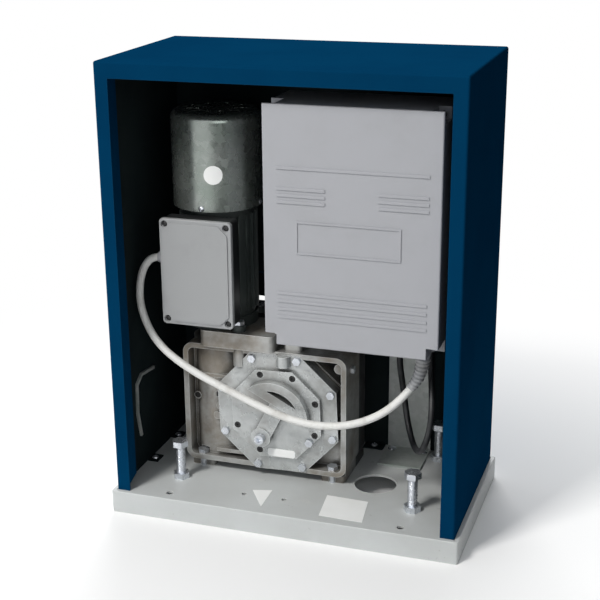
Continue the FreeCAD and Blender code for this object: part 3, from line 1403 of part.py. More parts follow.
def run_capacitor():
    """Capacitor can lying on the back wall above the board."""
    y = CONTROL_BACK - CONTROL_WALL - CAPACITOR_R
    z = BOARD_TOP + CAPACITOR_GAP + CAPACITOR_R
    start = CONTROL_LEFT + 42
    end = start + CAPACITOR_LENGTH
    return fuse([rod(CAPACITOR_R, start, end, y, z), rod(4.0, end, end + 10, y, z)])


def bracket_screw_places():
    inset = BRACKET_EAR_W / 2
    return [(x, z) for x in (BRACKET_LEFT + inset, BRACKET_RIGHT - inset)
            for z in (CONTROL_BOTTOM + 28, BRACKET_TOP - 18)]


def control_bracket():
    """Folded post: foot on the base, back web, two cheeks and front ears that carry the box."""
    t = BRACKET_SHEET
    back = BRACKET_BACK
    left = BRACKET_LEFT
    right = BRACKET_RIGHT
    low = CONTROL_BOTTOM + 8
    foot = box(left, right, back - BRACKET_FOOT_D, back, BASE_H, BASE_H + t)
    web = box(left, right, back - t, back, BASE_H, BRACKET_TOP)
    cheek = [(back, low - 90), (back, BRACKET_TOP), (CONTROL_BACK, BRACKET_TOP),
             (CONTROL_BACK, low)]
    pieces = [foot, web, prism(cheek, 0, left, t), prism(cheek, 0, right - t, t)]
    for x0, x1 in ((left, left + BRACKET_EAR_W), (right - BRACKET_EAR_W, right)):
        pieces.append(box(x0, x1, CONTROL_BACK, CONTROL_BACK + t, low, BRACKET_TOP))
    bracket = fuse(pieces)
    cuts = []
    for x, y in bracket_foot_places():
        cuts.append(post(BRACKET_SCREW_R + FIT, 0, BASE_H + t + 1, x, y))
    for x, z in bracket_screw_places():
        cuts.append(axle(2.5, CONTROL_BACK - 1, CONTROL_BACK + t + 1, x, z))
    return bracket.cut(cuts)


def bracket_screws():
    """Two screws down through the foot into the base, four from inside the control box."""
    screws = []
    for x, y in bracket_foot_places():
        seat = V(x, y, BASE_H + BRACKET_SHEET)
        screws.append(dome_screw(BRACKET_SCREW_R, BRACKET_SHEET + 7, seat, V(0, 0, 1)))
    for x, z in bracket_screw_places():
        seat = V(x, CONTROL_BACK - CONTROL_WALL, z)
        screws.append(dome_screw(2.5, CONTROL_WALL + 6, seat, V(0, -1, 0)))
    return screws


# ---------------------------------------------------------------- glands and cables

def gland(cable_r, thread_r, at, toward):
    """Hexagon body, dome nut and the thread behind the wall, bored for its cable."""
    body = hexagon(GLAND_R * 0.92, GLAND_NUT_H)
    dome = Part.makeCone(GLAND_R * 0.86, cable_r + 2.5, GLAND_DOME_H, V(0, 0, GLAND_NUT_H))
    thread = Part.makeCylinder(thread_r, 8.0, V(0, 0, -8.0))
    whole = fuse([body, dome, thread])
    if cable_r > 0:
        whole = whole.cut(Part.makeCylinder(cable_r, 60.0, V(0, 0, -20.0)))
    return aimed(whole, at, toward)


def control_glands():
    down = V(0, 0, -1)
    radii = (0.0, MOTOR_CABLE_R, CONTROL_CABLE_R, CONTROL_CABLE_R)
    parts = []
    for (x, y), cable_r in zip(gland_places(), radii):
        parts.append(gland(cable_r, GLAND_THREAD_R, V(x, y, CONTROL_BOTTOM), down))
    return parts


def terminal_gland():
    y, z = TERMINAL_GLAND_AT
    wall = MOTOR_X - TERMINAL_W / 2 + 1
    body = Part.makeCylinder(9.0, 4.0)
    dome = Part.makeCone(8.5, MOTOR_CABLE_R + 2.0, 6.0, V(0, 0, 4.0))
    thread = Part.makeCylinder(7.0, 6.0, V(0, 0, -6.0))
    whole = fuse([body, dome, thread]).cut(Part.makeCylinder(MOTOR_CABLE_R, 40.0, V(0, 0, -20.0)))
    return aimed(whole, V(wall, y, z), V(-1, 0, 0))


# Routes of the two cables, point by point
MOTOR_CABLE = [(-178.0, -43.0, 331.0), (-194.0, -43.0, 331.0), (-206.0, -46.0, 318.0),
               (-212.0, -50.0, 296.0), (-210.0, -56.0, 262.0), (-188.0, -60.0, 218.0),
               (-142.0, -62.0, 187.0), (-82.0, -62.0, 162.0), (-22.0, -62.0, 138.0),
               (30.0, -62.0, 129.0), (76.0, -60.0, 135.0), (116.0, -57.0, 154.0),
               (145.0, -53.0, 183.0), (166.0, -50.0, 216.0), (166.0, -50.0, 250.0)]
CONTROL_CABLE = [(128.0, -20.0, 250.0), (128.0, -20.0, 216.0), (126.0, 2.0, 183.0),
                 (124.0, 26.0, 150.0), (132.0, 18.0, 110.0), (151.0, -20.0, 92.0),
                 (170.0, -58.0, 112.0), (181.0, -66.0, 154.0), (176.0, -44.0, 188.0),
                 (168.0, -20.0, 216.0), (168.0, -20.0, 250.0)]


def cable_tube(points, r, name):
    """Round tube along straight runs joined by tangent arcs."""
    route = [V(*p) for p in points]
    edges = []
    start = route[0]
    radii = []
    length = 0.0
    for i in range(1, len(route) - 1):
        before = route[i] - route[i - 1]
        after = route[i + 1] - route[i]
        turn = before.getAngle(after)
        if turn < 1e-4:
            continue
        tangent = 0.45 * min(before.Length, after.Length)
        radii.append(tangent / math.tan(turn / 2))
        u = before.normalize()
        w = after.normalize()
        enter = route[i] - u * tangent
        leave = route[i] + w * tangent
        inward = (w - u).normalize()
        middle = route[i] + inward * (radii[-1] / math.cos(turn / 2) - radii[-1])
        edges.append(Part.LineSegment(start, enter).toShape())
        edges.append(Part.Arc(enter, middle, leave).toShape())
        start = leave
    edges.append(Part.LineSegment(start, route[-1]).toShape())
    path = Part.Wire(edges)
    length = path.Length
    first = route[1] - route[0]
    circle = Part.Wire(Part.makeCircle(r, route[0], first))
    tube = path.makePipeShell([circle], True, False)
    expected = math.pi * r * r * length
    print(name, "length %.1f" % length, "volume ratio %.4f" % (tube.Volume / expected),
          "radii", " ".join("%.0f" % value for value in radii))
    return tube


# ---------------------------------------------------------------- limit switch and wall strip

def limit_shelf():
    """Plate on the gearbox that carries the limit switch behind the motor neck."""
    t = LIMIT_SHELF_T
    z0 = BOX_TOP
    back = REAR - CABINET_SHEET - LIMIT_SHELF_GAP
    right = BOX_RIGHT - 8
    foot = box(NECK_RIGHT + 20, right, BOX_BACK - 20, back, z0, z0 + t)
    shelf = box(LIMIT_X - 67.5, right, LIMIT_Y - 13, back, z0, z0 + t)
    plate = fuse([foot, shelf])
    for x, y in LIMIT_FOOT_AT:
        plate = plate.cut(post(2.0 + FIT, z0 - 1, z0 + t + 1, x, y))
    return plate.cut(post(3.0, z0 - 1, z0 + t + 1, LIMIT_X, LIMIT_Y))


def limit_switches():
    """The two snap switches, one on each side of the lever hub."""
    seat = BOX_TOP + LIMIT_SHELF_T
    parts = []
    for side in (-1, 1):
        x0 = LIMIT_X + side * 30
        x1 = LIMIT_X + side * 58
        low, high = sorted((x0, x1))
        case = box(low, high, LIMIT_Y - 7, LIMIT_Y + 9, seat, seat + 16)
        plunger = box(*sorted((x0, x0 - side * 3)), LIMIT_Y - 1, LIMIT_Y + 3,
                      seat + 8, seat + 12)
        parts.append(fuse([case, plunger]))
    return parts


def limit_lever():
    """Hub on a pin with the cam wing and the rod that passes out through the slot."""
    z = SLOT_Z
    seat = BOX_TOP + LIMIT_SHELF_T + FIT
    end = REAR + LIMIT_ROD_PROUD
    hub = post(9.0, seat, z + 7, LIMIT_X, LIMIT_Y)
    wing = box(LIMIT_X - 22, LIMIT_X + 22, LIMIT_Y - 5, LIMIT_Y, seat + 7, seat + 13)
    stem = axle(LIMIT_ROD_R, LIMIT_Y, end, LIMIT_X, z)
    tip = Part.makeSphere(LIMIT_BALL_R, V(LIMIT_X, end - LIMIT_BALL_R / 2, z))
    lever = fuse([hub, rounded(wing, 2, 2.0), stem, tip])
    return lever.cut(post(3.0 + RUNNING_GAP, seat - 1, z + 4, LIMIT_X, LIMIT_Y))


def limit_pin():
    return post(3.0, BOX_TOP, SLOT_Z + 3, LIMIT_X, LIMIT_Y)


def lever_nut():
    at = V(LIMIT_X, REAR + LIMIT_NUT_PROUD, SLOT_Z)
    return hex_nut(LIMIT_ROD_R, 6.0, at, V(0, 1, 0))


def wall_strip():
    """Slim bent strip screwed flat on the inside of the left wall."""
    y = FRONT + STRIP_SETBACK
    z = STRIP_TOP
    end = y + STRIP_DEPTH
    outline = [(end, z - 4), (y + 18, z), (y + 2, z - 10), (y, z - 52), (y + 8, z - 88),
               (y + 12, z - 87), (y + 4, z - 52), (y + 6, z - 13), (y + 19, z - 4), (end, z - 8)]
    return prism(outline, 0, CABINET_SHEET - SIDE, STRIP_T)


# ---------------------------------------------------------------- write the nodes

save("base_plate", base_plate())
save("levelling_bolts", levelling_bolts())
save("levelling_nuts", levelling_nuts())
save("cabinet_cover", cabinet_cover())
save("rear_hatch", rear_hatch())
save("pinion_guard", pinion_guard())
save("sheet_screws", sheet_screws())
save("gearbox_housing", gearbox_housing())
save("gearbox_cover", gearbox_cover())
save("bearing_cap", bearing_cap())
save("cap_screws", cap_screws())
save("cover_bolts", cover_bolts())
save("foot_bolts", foot_bolts())
save("filler_plug", filler_plug())
save("rotor_bearings", rotor_bearings())
save("shaft_bearings", shaft_bearings())
save("shaft_seal", shaft_seal())
save("release_lever", release_lever())
save("lever_screw", lever_screw())
save("drive_pinion", drive_pinion())
save("pinion_key", pinion_key())
save("output_shaft", output_shaft())
save("pinion_retainer", pinion_retainer())
save("worm_wheel", worm_wheel())
save("worm_shaft", worm_shaft())
save("motor_neck", motor_neck())
save("lower_shield", lower_shield())
save("motor_bolts", motor_bolts())
save("motor_frame", motor_frame())
save("stator_core", stator_core())
save("stator_windings", stator_windings())
save("rotor_core", rotor_core())
save("upper_shield", upper_shield())
save("fan_cowl", fan_cowl())
save("machine_screws", machine_screws())
save("cooling_fan", cooling_fan())
save("terminal_box", terminal_box())
save("terminal_lid", terminal_lid())
save("terminal_lid_screws", terminal_lid_screws())
save("terminal_block", terminal_block())
save("terminal_gland", terminal_gland())
save("control_box", control_box())
save("control_lid", control_lid())
save("control_lid_screws", control_lid_screws())
save("control_board", control_board())
save("board_standoffs", board_standoffs())
save("board_parts", board_parts())
save("run_capacitor", run_capacitor())
save("control_bracket", control_bracket())
save("bracket_screws", bracket_screws())
save("control_glands", control_glands())
save("limit_shelf", limit_shelf())
save("limit_switches", limit_switches())
save("limit_lever", limit_lever())
save("limit_pin", limit_pin())
save("lever_nut", lever_nut())
save("wall_strip", wall_strip())
save("motor_cable", cable_tube(MOTOR_CABLE, MOTOR_CABLE_R, "motor cable"))
save("control_cable", cable_tube(CONTROL_CABLE, CONTROL_CABLE_R, "control cable"))
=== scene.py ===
import math
import bpy
import bmesh
from mathutils import Matrix, Vector


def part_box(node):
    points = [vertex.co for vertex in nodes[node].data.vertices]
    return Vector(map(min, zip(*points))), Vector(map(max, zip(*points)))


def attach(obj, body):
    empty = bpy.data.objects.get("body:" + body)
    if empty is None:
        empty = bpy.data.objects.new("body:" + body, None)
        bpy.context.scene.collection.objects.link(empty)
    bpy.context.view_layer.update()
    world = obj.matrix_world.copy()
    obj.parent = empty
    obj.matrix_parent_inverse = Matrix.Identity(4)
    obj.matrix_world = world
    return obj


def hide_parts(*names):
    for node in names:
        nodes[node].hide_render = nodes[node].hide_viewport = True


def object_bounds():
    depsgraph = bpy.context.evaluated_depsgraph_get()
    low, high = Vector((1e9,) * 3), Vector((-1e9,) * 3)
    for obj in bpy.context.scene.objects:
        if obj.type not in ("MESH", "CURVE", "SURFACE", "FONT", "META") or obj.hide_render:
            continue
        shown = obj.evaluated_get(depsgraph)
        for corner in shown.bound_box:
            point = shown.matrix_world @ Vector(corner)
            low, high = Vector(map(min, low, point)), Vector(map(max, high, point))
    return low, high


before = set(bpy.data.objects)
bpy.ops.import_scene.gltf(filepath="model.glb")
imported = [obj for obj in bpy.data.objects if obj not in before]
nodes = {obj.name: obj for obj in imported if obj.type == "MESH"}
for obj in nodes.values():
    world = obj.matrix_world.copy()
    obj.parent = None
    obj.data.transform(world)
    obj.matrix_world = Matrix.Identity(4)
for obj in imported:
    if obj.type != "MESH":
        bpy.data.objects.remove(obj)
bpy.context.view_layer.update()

scene = bpy.context.scene


# --- Stage: camera, white floor, sky dome and soft lamps.
# The machine stands on a white floor.  Broad soft light from the open side reaches the room
# behind the motor, and less comes from the right, so that end of the cabinet stays deep.
camera_place = (0.490, -1.533, 0.810)
camera_turn = 19.16
camera_drop = 19.35
camera_roll = -0.73
camera_data = bpy.data.cameras.new("camera")
camera_data.lens = 78.0
camera_data.sensor_width = 36.0
camera_data.shift_x = 0.029
camera_data.shift_y = 0.028
camera_data.clip_end = 200.0
camera = bpy.data.objects.new("camera", camera_data)
scene.collection.objects.link(camera)
turn = Matrix.Rotation(math.radians(camera_turn), 4, "Z")
tilt = Matrix.Rotation(math.radians(90.0 - camera_drop), 4, "X")
roll = Matrix.Rotation(math.radians(camera_roll), 4, "Z")
camera.matrix_world = Matrix.Translation(camera_place) @ turn @ tilt @ roll
scene.camera = camera
scene.view_settings.view_transform = "Standard"


def feed(tree, value, socket):
    """Link another node's output to a socket, or set the socket to a constant."""
    if isinstance(value, bpy.types.NodeSocket):
        tree.links.new(value, socket)
    else:
        socket.default_value = value


def maths(tree, operation, *values):
    """Output of a Math node between constants and other nodes' outputs."""
    node = tree.nodes.new("ShaderNodeMath")
    node.operation = operation
    for value, socket in zip(values, node.inputs):
        feed(tree, value, socket)
    return node.outputs[0]


def vector_maths(tree, operation, *values):
    """Output of a Vector Math node between constants and other nodes' outputs."""
    node = tree.nodes.new("ShaderNodeVectorMath")
    node.operation = operation
    for value, socket in zip(values, node.inputs):
        feed(tree, value, socket)
    return node.outputs["Value" if operation in ("LENGTH", "DOT_PRODUCT") else "Vector"]


def along_axis(tree, vector, axis):
    """One coordinate of a vector output."""
    split = tree.nodes.new("ShaderNodeSeparateXYZ")
    tree.links.new(vector, split.inputs[0])
    return split.outputs[axis]


def spread(tree, value, start, end, low=0.0, high=1.0, smooth=False):
    """Value carried from start..end to low..high, and held between them."""
    node = tree.nodes.new("ShaderNodeMapRange")
    if smooth:
        node.interpolation_type = "SMOOTHSTEP"
    limits = {"Value": value, "From Min": start, "From Max": end, "To Min": low, "To Max": high}
    for name, limit in limits.items():
        feed(tree, limit, node.inputs[name])
    return node.outputs["Result"]


def mix_shaders(tree, mask, first, second):
    """Shader that goes over from first to second with the mask."""
    node = tree.nodes.new("ShaderNodeMixShader")
    for value, socket in zip((mask, first, second), node.inputs):
        tree.links.new(value, socket)
    return node.outputs[0]


world = bpy.data.worlds.new("studio")
scene.world = world
world.use_nodes = True
sky_tree = world.node_tree
sky = sky_tree.nodes["Background"]
sky.inputs["Color"].default_value = (0.92, 0.96, 1.0, 1.0)
sky_way = sky_tree.nodes.new("ShaderNodeTexCoord").outputs["Generated"]
sky_fall = spread(sky_tree, along_axis(sky_tree, sky_way, "X"), -0.1, 0.7, 0.58, 0.06)
feed(sky_tree, sky_fall, sky.inputs["Strength"])
white_sky = sky_tree.nodes.new("ShaderNodeBackground")
white_sky.inputs["Color"].default_value = (1.0, 1.0, 1.0, 1.0)
ray = sky_tree.nodes.new("ShaderNodeLightPath").outputs
seen = maths(sky_tree, "MAXIMUM", ray["Is Camera Ray"], ray["Is Glossy Ray"])
whole_sky = mix_shaders(sky_tree, seen, sky.outputs[0], white_sky.outputs[0])
feed(sky_tree, whole_sky, sky_tree.nodes["World Output"].inputs[0])

floor_reach = 40.0
floor_gap = 0.0002
corners = [(-floor_reach, -floor_reach, 0), (floor_reach, -floor_reach, 0),
           (floor_reach, floor_reach, 0), (-floor_reach, floor_reach, 0)]
floor_mesh = bpy.data.meshes.new("floor")
floor_mesh.from_pydata(corners, [], [(0, 1, 2, 3)])
floor = bpy.data.objects.new("floor", floor_mesh)
scene.collection.objects.link(floor)
floor.location.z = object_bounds()[0].z - floor_gap
floor_paint = bpy.data.materials.new("floor_paint")
floor_paint.use_nodes = True
floor_tree = floor_paint.node_tree
floor_shade = floor_tree.nodes["Principled BSDF"]
floor_shade.inputs["Base Color"].default_value = (0.94, 0.94, 0.94, 1.0)
floor_shade.inputs["Roughness"].default_value = 0.9
floor_shade.inputs["Specular IOR Level"].default_value = 0.1
floor_place = floor_tree.nodes.new("ShaderNodeTexCoord").outputs["Object"]
far = spread(floor_tree, vector_maths(floor_tree, "LENGTH", floor_place), 0.25, 0.95, smooth=True)
right_fall = spread(floor_tree, along_axis(floor_tree, floor_place, "X"), 0.0, 0.6, 1.0, 0.1)
camera_ray = floor_tree.nodes.new("ShaderNodeLightPath").outputs["Is Camera Ray"]
far_white = floor_tree.nodes.new("ShaderNodeEmission")
far_white.inputs["Color"].default_value = (1.0, 1.0, 1.0, 1.0)
feed(floor_tree, maths(floor_tree, "MAXIMUM", right_fall, camera_ray),
     far_white.inputs["Strength"])
whole_floor = mix_shaders(floor_tree, far, floor_shade.outputs[0], far_white.outputs[0])
feed(floor_tree, whole_floor, floor_tree.nodes["Material Output"].inputs[0])
floor_mesh.materials.append(floor_paint)


def soft_lamp(name, place, aim, size, watts, tint=(1.0, 1.0, 1.0)):
    """Square area lamp turned towards a point on the machine."""
    data = bpy.data.lights.new(name, "AREA")
    data.size = size
    data.energy = watts
    data.color = tint
    lamp = bpy.data.objects.new(name, data)
    scene.collection.objects.link(lamp)
    lamp.location = place
    lamp.rotation_euler = (Vector(aim) - Vector(place)).to_track_quat("-Z", "Y").to_euler()


middle = (0.0, 0.0, 0.28)
soft_lamp("key_lamp", (-0.95, -2.05, 2.75), middle, 0.7, 78.0, (1.0, 0.98, 0.95))
soft_lamp("fill_lamp", (1.4, -2.4, 1.1), middle, 1.6, 8.0, (0.95, 0.98, 1.0))
soft_lamp("back_lamp", (-0.6, 2.6, 2.0), middle, 1.8, 62.0)


# --- Cables: the pale motor lead and the black control lead.
# Both are round flexible leads with a smooth extruded sheath, held only by their glands,
# so each hangs in its own bow between the two ends.
def new_finish(name):
    """A material with its node tree, and the Principled shader already in it."""
    material = bpy.data.materials.new(name)
    material.use_nodes = True
    tree = material.node_tree
    return material, tree, tree.nodes["Principled BSDF"]


def object_place(tree):
    """The place on the piece, in metres, from Object coordinates."""
    return tree.nodes.new("ShaderNodeTexCoord").outputs["Object"]


def new_group(name, inlets, outlets):
    """A shader node group with named sockets, and the two ends to wire inside it."""
    group = bpy.data.node_groups.new(name, "ShaderNodeTree")
    for in_out, sockets in (("INPUT", inlets), ("OUTPUT", outlets)):
        for socket_name, kind in sockets.items():
            group.interface.new_socket(name=socket_name, in_out=in_out,
                                       socket_type="NodeSocket" + kind)
    return (group, group.nodes.new("NodeGroupInput").outputs,
            group.nodes.new("NodeGroupOutput").inputs)


def use_group(tree, group, values):
    """Place a group in a tree with its named inputs set or linked; gives its outputs."""
    node = tree.nodes.new("ShaderNodeGroup")
    node.node_tree = group
    for name, value in values.items():
        feed(tree, value, node.inputs[name])
    return node.outputs


def noise(tree, place, scale, detail, roughness=0.5):
    """Height of a noise texture."""
    node = tree.nodes.new("ShaderNodeTexNoise")
    values = {"Vector": place, "Scale": scale, "Detail": detail, "Roughness": roughness}
    for name, value in values.items():
        feed(tree, value, node.inputs[name])
    return node.outputs[0]


# Height of a fine surface grain: a coarse swell with a fine tooth on it.
grain_group, start, end = new_group(
    "surface_grain", {"Place": "Vector", "Swell Scale": "Float", "Tooth Scale": "Float",
                      "Tooth Share": "Float"}, {"Height": "Float"})
swell_on_tooth = grain_group.nodes.new("ShaderNodeMix")
feed(grain_group, start["Tooth Share"], swell_on_tooth.inputs["Factor"])
feed(grain_group, noise(grain_group, start["Place"], start["Swell Scale"], 2.0),
     swell_on_tooth.inputs["A"])
feed(grain_group, noise(grain_group, start["Place"], start["Tooth Scale"], 3.0),
     swell_on_tooth.inputs["B"])
feed(grain_group, swell_on_tooth.outputs["Result"], end["Height"])

# Blotchy mask from 0 to 1, with its edge softness and cover set by two limits.
mottle_group, start, end = new_group(
    "mottle", {"Place": "Vector", "Scale": "Float", "From": "Float", "To": "Float"},
    {"Mask": "Float"})
blotch = noise(mottle_group, start["Place"], start["Scale"], 6.0, 0.6)
feed(mottle_group, spread(mottle_group, blotch, start["From"], start["To"], smooth=True),
     end["Mask"])


def add_grain(tree, shade, place, swell, tooth, share, depth):
    """Bump the shader with the grain group."""
    height = use_group(tree, grain_group, {"Place": place, "Swell Scale": swell,
                                           "Tooth Scale": tooth, "Tooth Share": share})
    bump = tree.nodes.new("ShaderNodeBump")
    bump.inputs["Distance"].default_value = depth
    tree.links.new(height["Height"], bump.inputs["Height"])
    tree.links.new(bump.outputs["Normal"], shade.inputs["Normal"])


def add_mottle(tree, place, scale, first, last):
    """Mask output of a mottle group set to one size of blotch."""
    return use_group(tree, mottle_group, {"Place": place, "Scale": scale, "From": first,
                                          "To": last})["Mask"]


def blend_colours(tree, mask, first, second):
    """Colour that runs from first to second with the mask; each is a colour or an output."""
    mix = tree.nodes.new("ShaderNodeMix")
    mix.data_type = "RGBA"
    tree.links.new(mask, mix.inputs["Factor"])
    for value, socket in ((first, mix.inputs["A"]), (second, mix.inputs["B"])):
        feed(tree, value + (1.0,) if isinstance(value, tuple) else value, socket)
    return mix.outputs["Result"]


def blend_values(tree, mask, first, second):
    """Number that runs from first to second with the mask."""
    return spread(tree, mask, 0.0, 1.0, first, second)


def sheath_finish(name, clean, dusty, roughness):
    """Extruded plastic sheath, a little dusty."""
    material, tree, shade = new_finish(name)
    place = object_place(tree)
    dust = add_mottle(tree, place, 45.0, 0.45, 0.75)
    tree.links.new(blend_colours(tree, dust, clean, dusty), shade.inputs["Base Color"])
    shade.inputs["Roughness"].default_value = roughness
    shade.inputs["Specular IOR Level"].default_value = 0.4
    add_grain(tree, shade, place, 120.0, 1500.0, 0.5, 0.0002)
    return material


def lead(name, points, diameter, material):
    """Round lead whose line is a smooth spline through the space near its route points."""
    data = bpy.data.curves.new(name, "CURVE")
    data.dimensions = "3D"
    data.resolution_u = 12
    data.bevel_depth = diameter / 2
    data.bevel_resolution = 6
    data.use_fill_caps = True
    spline = data.splines.new("NURBS")
    spline.points.add(len(points) - 1)
    for point, place in zip(spline.points, points):
        point.co = (*place, 1.0)
    spline.order_u = 3
    spline.use_endpoint_u = True
    data.materials.append(material)
    piece = bpy.data.objects.new(name, data)
    scene.collection.objects.link(piece)
    return piece


depth_shift = 0.026
motor_route = [(-0.178, -0.043, 0.331), (-0.194, -0.043, 0.331), (-0.206, -0.046, 0.318),
               (-0.212, -0.050, 0.296), (-0.210, -0.056, 0.262), (-0.188, -0.060, 0.218),
               (-0.142, -0.062, 0.187), (-0.082, -0.062, 0.162), (-0.022, -0.062, 0.138),
               (0.030, -0.062, 0.129), (0.076, -0.060, 0.135), (0.116, -0.057, 0.154),
               (0.145, -0.053, 0.183), (0.166, -0.050, 0.216), (0.166, -0.050, 0.250)]
control_route = [(0.128, -0.020, 0.250), (0.128, -0.020, 0.216), (0.126, 0.002, 0.183),
                 (0.124, 0.026, 0.150), (0.132, 0.018, 0.110), (0.151, -0.020, 0.092),
                 (0.170, -0.058, 0.112), (0.181, -0.066, 0.154), (0.176, -0.044, 0.188),
                 (0.168, -0.020, 0.216), (0.168, -0.020, 0.250)]
motor_route = [(x, y - depth_shift, z) for x, y, z in motor_route]
control_route = [(x, y - depth_shift, z) for x, y, z in control_route]
pale_sheath = sheath_finish("pale_sheath", (0.76, 0.76, 0.74), (0.58, 0.57, 0.54), 0.5)
black_sheath = sheath_finish("black_sheath", (0.012, 0.013, 0.015), (0.04, 0.042, 0.045), 0.42)
motor_lead = lead("motor_lead", motor_route, 0.010, pale_sheath)
control_lead = lead("control_lead", control_route, 0.008, black_sheath)
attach(motor_lead, "base")
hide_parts("motor_cable")
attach(control_lead, "base")
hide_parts("control_cable")


# --- Cable boot: the ribbed grey sleeve that keeps the motor lead from kinking at its gland.
# It stands where the control box's shadow falls on the lead, and its grey is painted shadow.
# It is moulded in soft plastic, thick at the gland and thin at its free end, with ring grooves
# that let it bend with the lead.
def centreline(piece):
    """Points along the middle of a lead, from its own spline."""
    bare = piece.data.copy()
    bare.bevel_depth = 0.0
    line = bpy.data.objects.new("bare_line", bare)
    scene.collection.objects.link(line)
    graph = bpy.context.evaluated_depsgraph_get()
    mesh = bpy.data.meshes.new_from_object(line.evaluated_get(graph))
    points = [corner.co.copy() for corner in mesh.vertices]
    bpy.data.objects.remove(line)
    return points


def point_along(points, distance):
    """Place and direction at a distance along a line of points."""
    for first, second in zip(points, points[1:]):
        step = (second - first).length
        if distance <= step:
            return first.lerp(second, distance / step), (second - first).normalized()
        distance -= step
    return points[-1].copy(), (points[-1] - points[-2]).normalized()


def bridge(shape, rings):
    """Join rings of as many corners each into one skin."""
    for ring, after in zip(rings, rings[1:]):
        for index in range(len(ring)):
            other = (index + 1) % len(ring)
            shape.faces.new((ring[index], ring[other], after[other], after[index]))


def finished_piece(shape, name, *materials):
    """Object made of a closed bmesh, with its faces outwards and its finishes on it."""
    bmesh.ops.recalc_face_normals(shape, faces=shape.faces)
    mesh = bpy.data.meshes.new(name)
    shape.to_mesh(mesh)
    shape.free()
    for material in materials:
        mesh.materials.append(material)
    piece = bpy.data.objects.new(name, mesh)
    scene.collection.objects.link(piece)
    return piece


def sleeve(name, points, profile, material, sides=36):
    """Tube round a line; the profile is a list of distances along it and radii."""
    shape = bmesh.new()
    rings = []
    side = Vector((0.0, 1.0, 0.0))
    for distance, radius in profile:
        centre, along = point_along(points, distance)
        side = (side - along * side.dot(along)).normalized()
        up = along.cross(side)
        ring = []
        for index in range(sides):
            angle = 2 * math.pi * index / sides
            offset = side * math.cos(angle) + up * math.sin(angle)
            ring.append(shape.verts.new(centre + offset * radius))
        rings.append(ring)
    bridge(shape, rings)
    shape.faces.new(rings[0][::-1])
    shape.faces.new(rings[-1])
    piece = finished_piece(shape, name, material)
    for face in piece.data.polygons:
        face.use_smooth = len(face.vertices) == 4
    return piece


boot_start = 0.0165
boot_length = 0.044
boot_end = boot_start + boot_length
boot_collar = 0.003
boot_margin = 0.006
boot_ribs = 7
boot_radius = 0.0090
boot_taper = 0.0022
groove_depth = 0.0009
crest_half = 0.0008
rib_half = 0.0014
boot_profile = [(boot_start, boot_radius), (boot_start + boot_collar, 0.0092)]
for rib in range(boot_ribs):
    share = rib / (boot_ribs - 1)
    rib_at = boot_start + boot_margin + share * (boot_length - 2 * boot_margin)
    crest = boot_radius - boot_taper * share
    groove = crest - groove_depth
    boot_profile += [(rib_at - rib_half, groove), (rib_at - crest_half, crest),
                     (rib_at + crest_half, crest), (rib_at + rib_half, groove)]
boot_profile += [(boot_end - boot_collar, 0.0064), (boot_end, 0.0058)]
# Grey of the boot: painted shadow of the control box on the lead.
boot_shadow_grey = sheath_finish("boot_shadow_grey", (0.40, 0.405, 0.415), (0.33, 0.33, 0.33), 0.5)
motor_boot = sleeve("motor_lead_boot", centreline(motor_lead)[::-1], boot_profile, boot_shadow_grey)
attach(motor_boot, "base")


# --- Base tray: folded steel, powder coated pale grey, standing on its skirt.
# The folded edges are painted paler as a highlight; the coat is dusty on the flat and marked
# where boots and tools have touched it.
def coat(node_names, material):
    """Give CAD nodes a finish."""
    for node_name in node_names:
        for material_slot in nodes[node_name].material_slots:
            material_slot.material = material


# Sharp edges, for wear and for painted highlights: how far the true normal turns from that of a
# rounded edge.
edge_group, start, end = new_group(
    "edge_wear_and_highlight", {"Radius": "Float", "From": "Float", "To": "Float"}, {"Mask": "Float"})
rounded = edge_group.nodes.new("ShaderNodeBevel")
rounded.samples = 4
feed(edge_group, start["Radius"], rounded.inputs["Radius"])
true_normal = edge_group.nodes.new("ShaderNodeNewGeometry").outputs["Normal"]
likeness = vector_maths(edge_group, "DOT_PRODUCT", rounded.outputs["Normal"], true_normal)
feed(edge_group, spread(edge_group, likeness, start["From"], start["To"]), end["Mask"])

# A powder coat with faint patches, and dust lying on it.
powder_group, start, end = new_group(
    "powder_coat", {"Place": "Vector", "Base": "Color", "Patch": "Color", "Dust": "Color",
                    "Dust To": "Float"}, {"Colour": "Color"})
patches = add_mottle(powder_group, start["Place"], 7.0, 0.35, 0.75)
patched = blend_colours(powder_group, patches, start["Base"], start["Patch"])
dust = add_mottle(powder_group, start["Place"], 26.0, 0.62, start["Dust To"])
feed(powder_group, blend_colours(powder_group, dust, patched, start["Dust"]), end["Colour"])


def edge_mask(tree, radius, first, last):
    """Mask output of the edge group, used for wear and for painted highlights; radius is the
    rounding that it looks for.
    """
    return use_group(tree, edge_group, {"Radius": radius, "From": first, "To": last})["Mask"]


def powder_coat(tree, place, base, patch, dust, dust_to):
    """Colour output of the powder coat group."""
    return use_group(tree, powder_group, {
        "Place": place, "Base": base + (1.0,), "Patch": patch + (1.0,), "Dust": dust + (1.0,),
        "Dust To": dust_to})["Colour"]


tray_coat, tree, shade = new_finish("tray_coat")
place = object_place(tree)
tray_colour = powder_coat(tree, place, (0.54, 0.56, 0.56), (0.47, 0.485, 0.48),
                          (0.60, 0.595, 0.56), 0.95)
scuffs = add_mottle(tree, place, 75.0, 0.66, 0.72)
tray_colour = blend_colours(tree, blend_values(tree, scuffs, 0.0, 0.45), tray_colour,
                            (0.30, 0.30, 0.29))
# Painted highlight: the folded edges are made paler.
edge_highlight = edge_mask(tree, 0.0015, 0.97, 0.80)
tray_colour = blend_colours(tree, edge_highlight, tray_colour, (0.78, 0.78, 0.75))
tree.links.new(tray_colour, shade.inputs["Base Color"])
tree.links.new(blend_values(tree, scuffs, 0.42, 0.6), shade.inputs["Roughness"])
shade.inputs["Specular IOR Level"].default_value = 0.3
add_grain(tree, shade, place, 420.0, 1400.0, 0.35, 0.00012)
coat(["base_plate"], tray_coat)
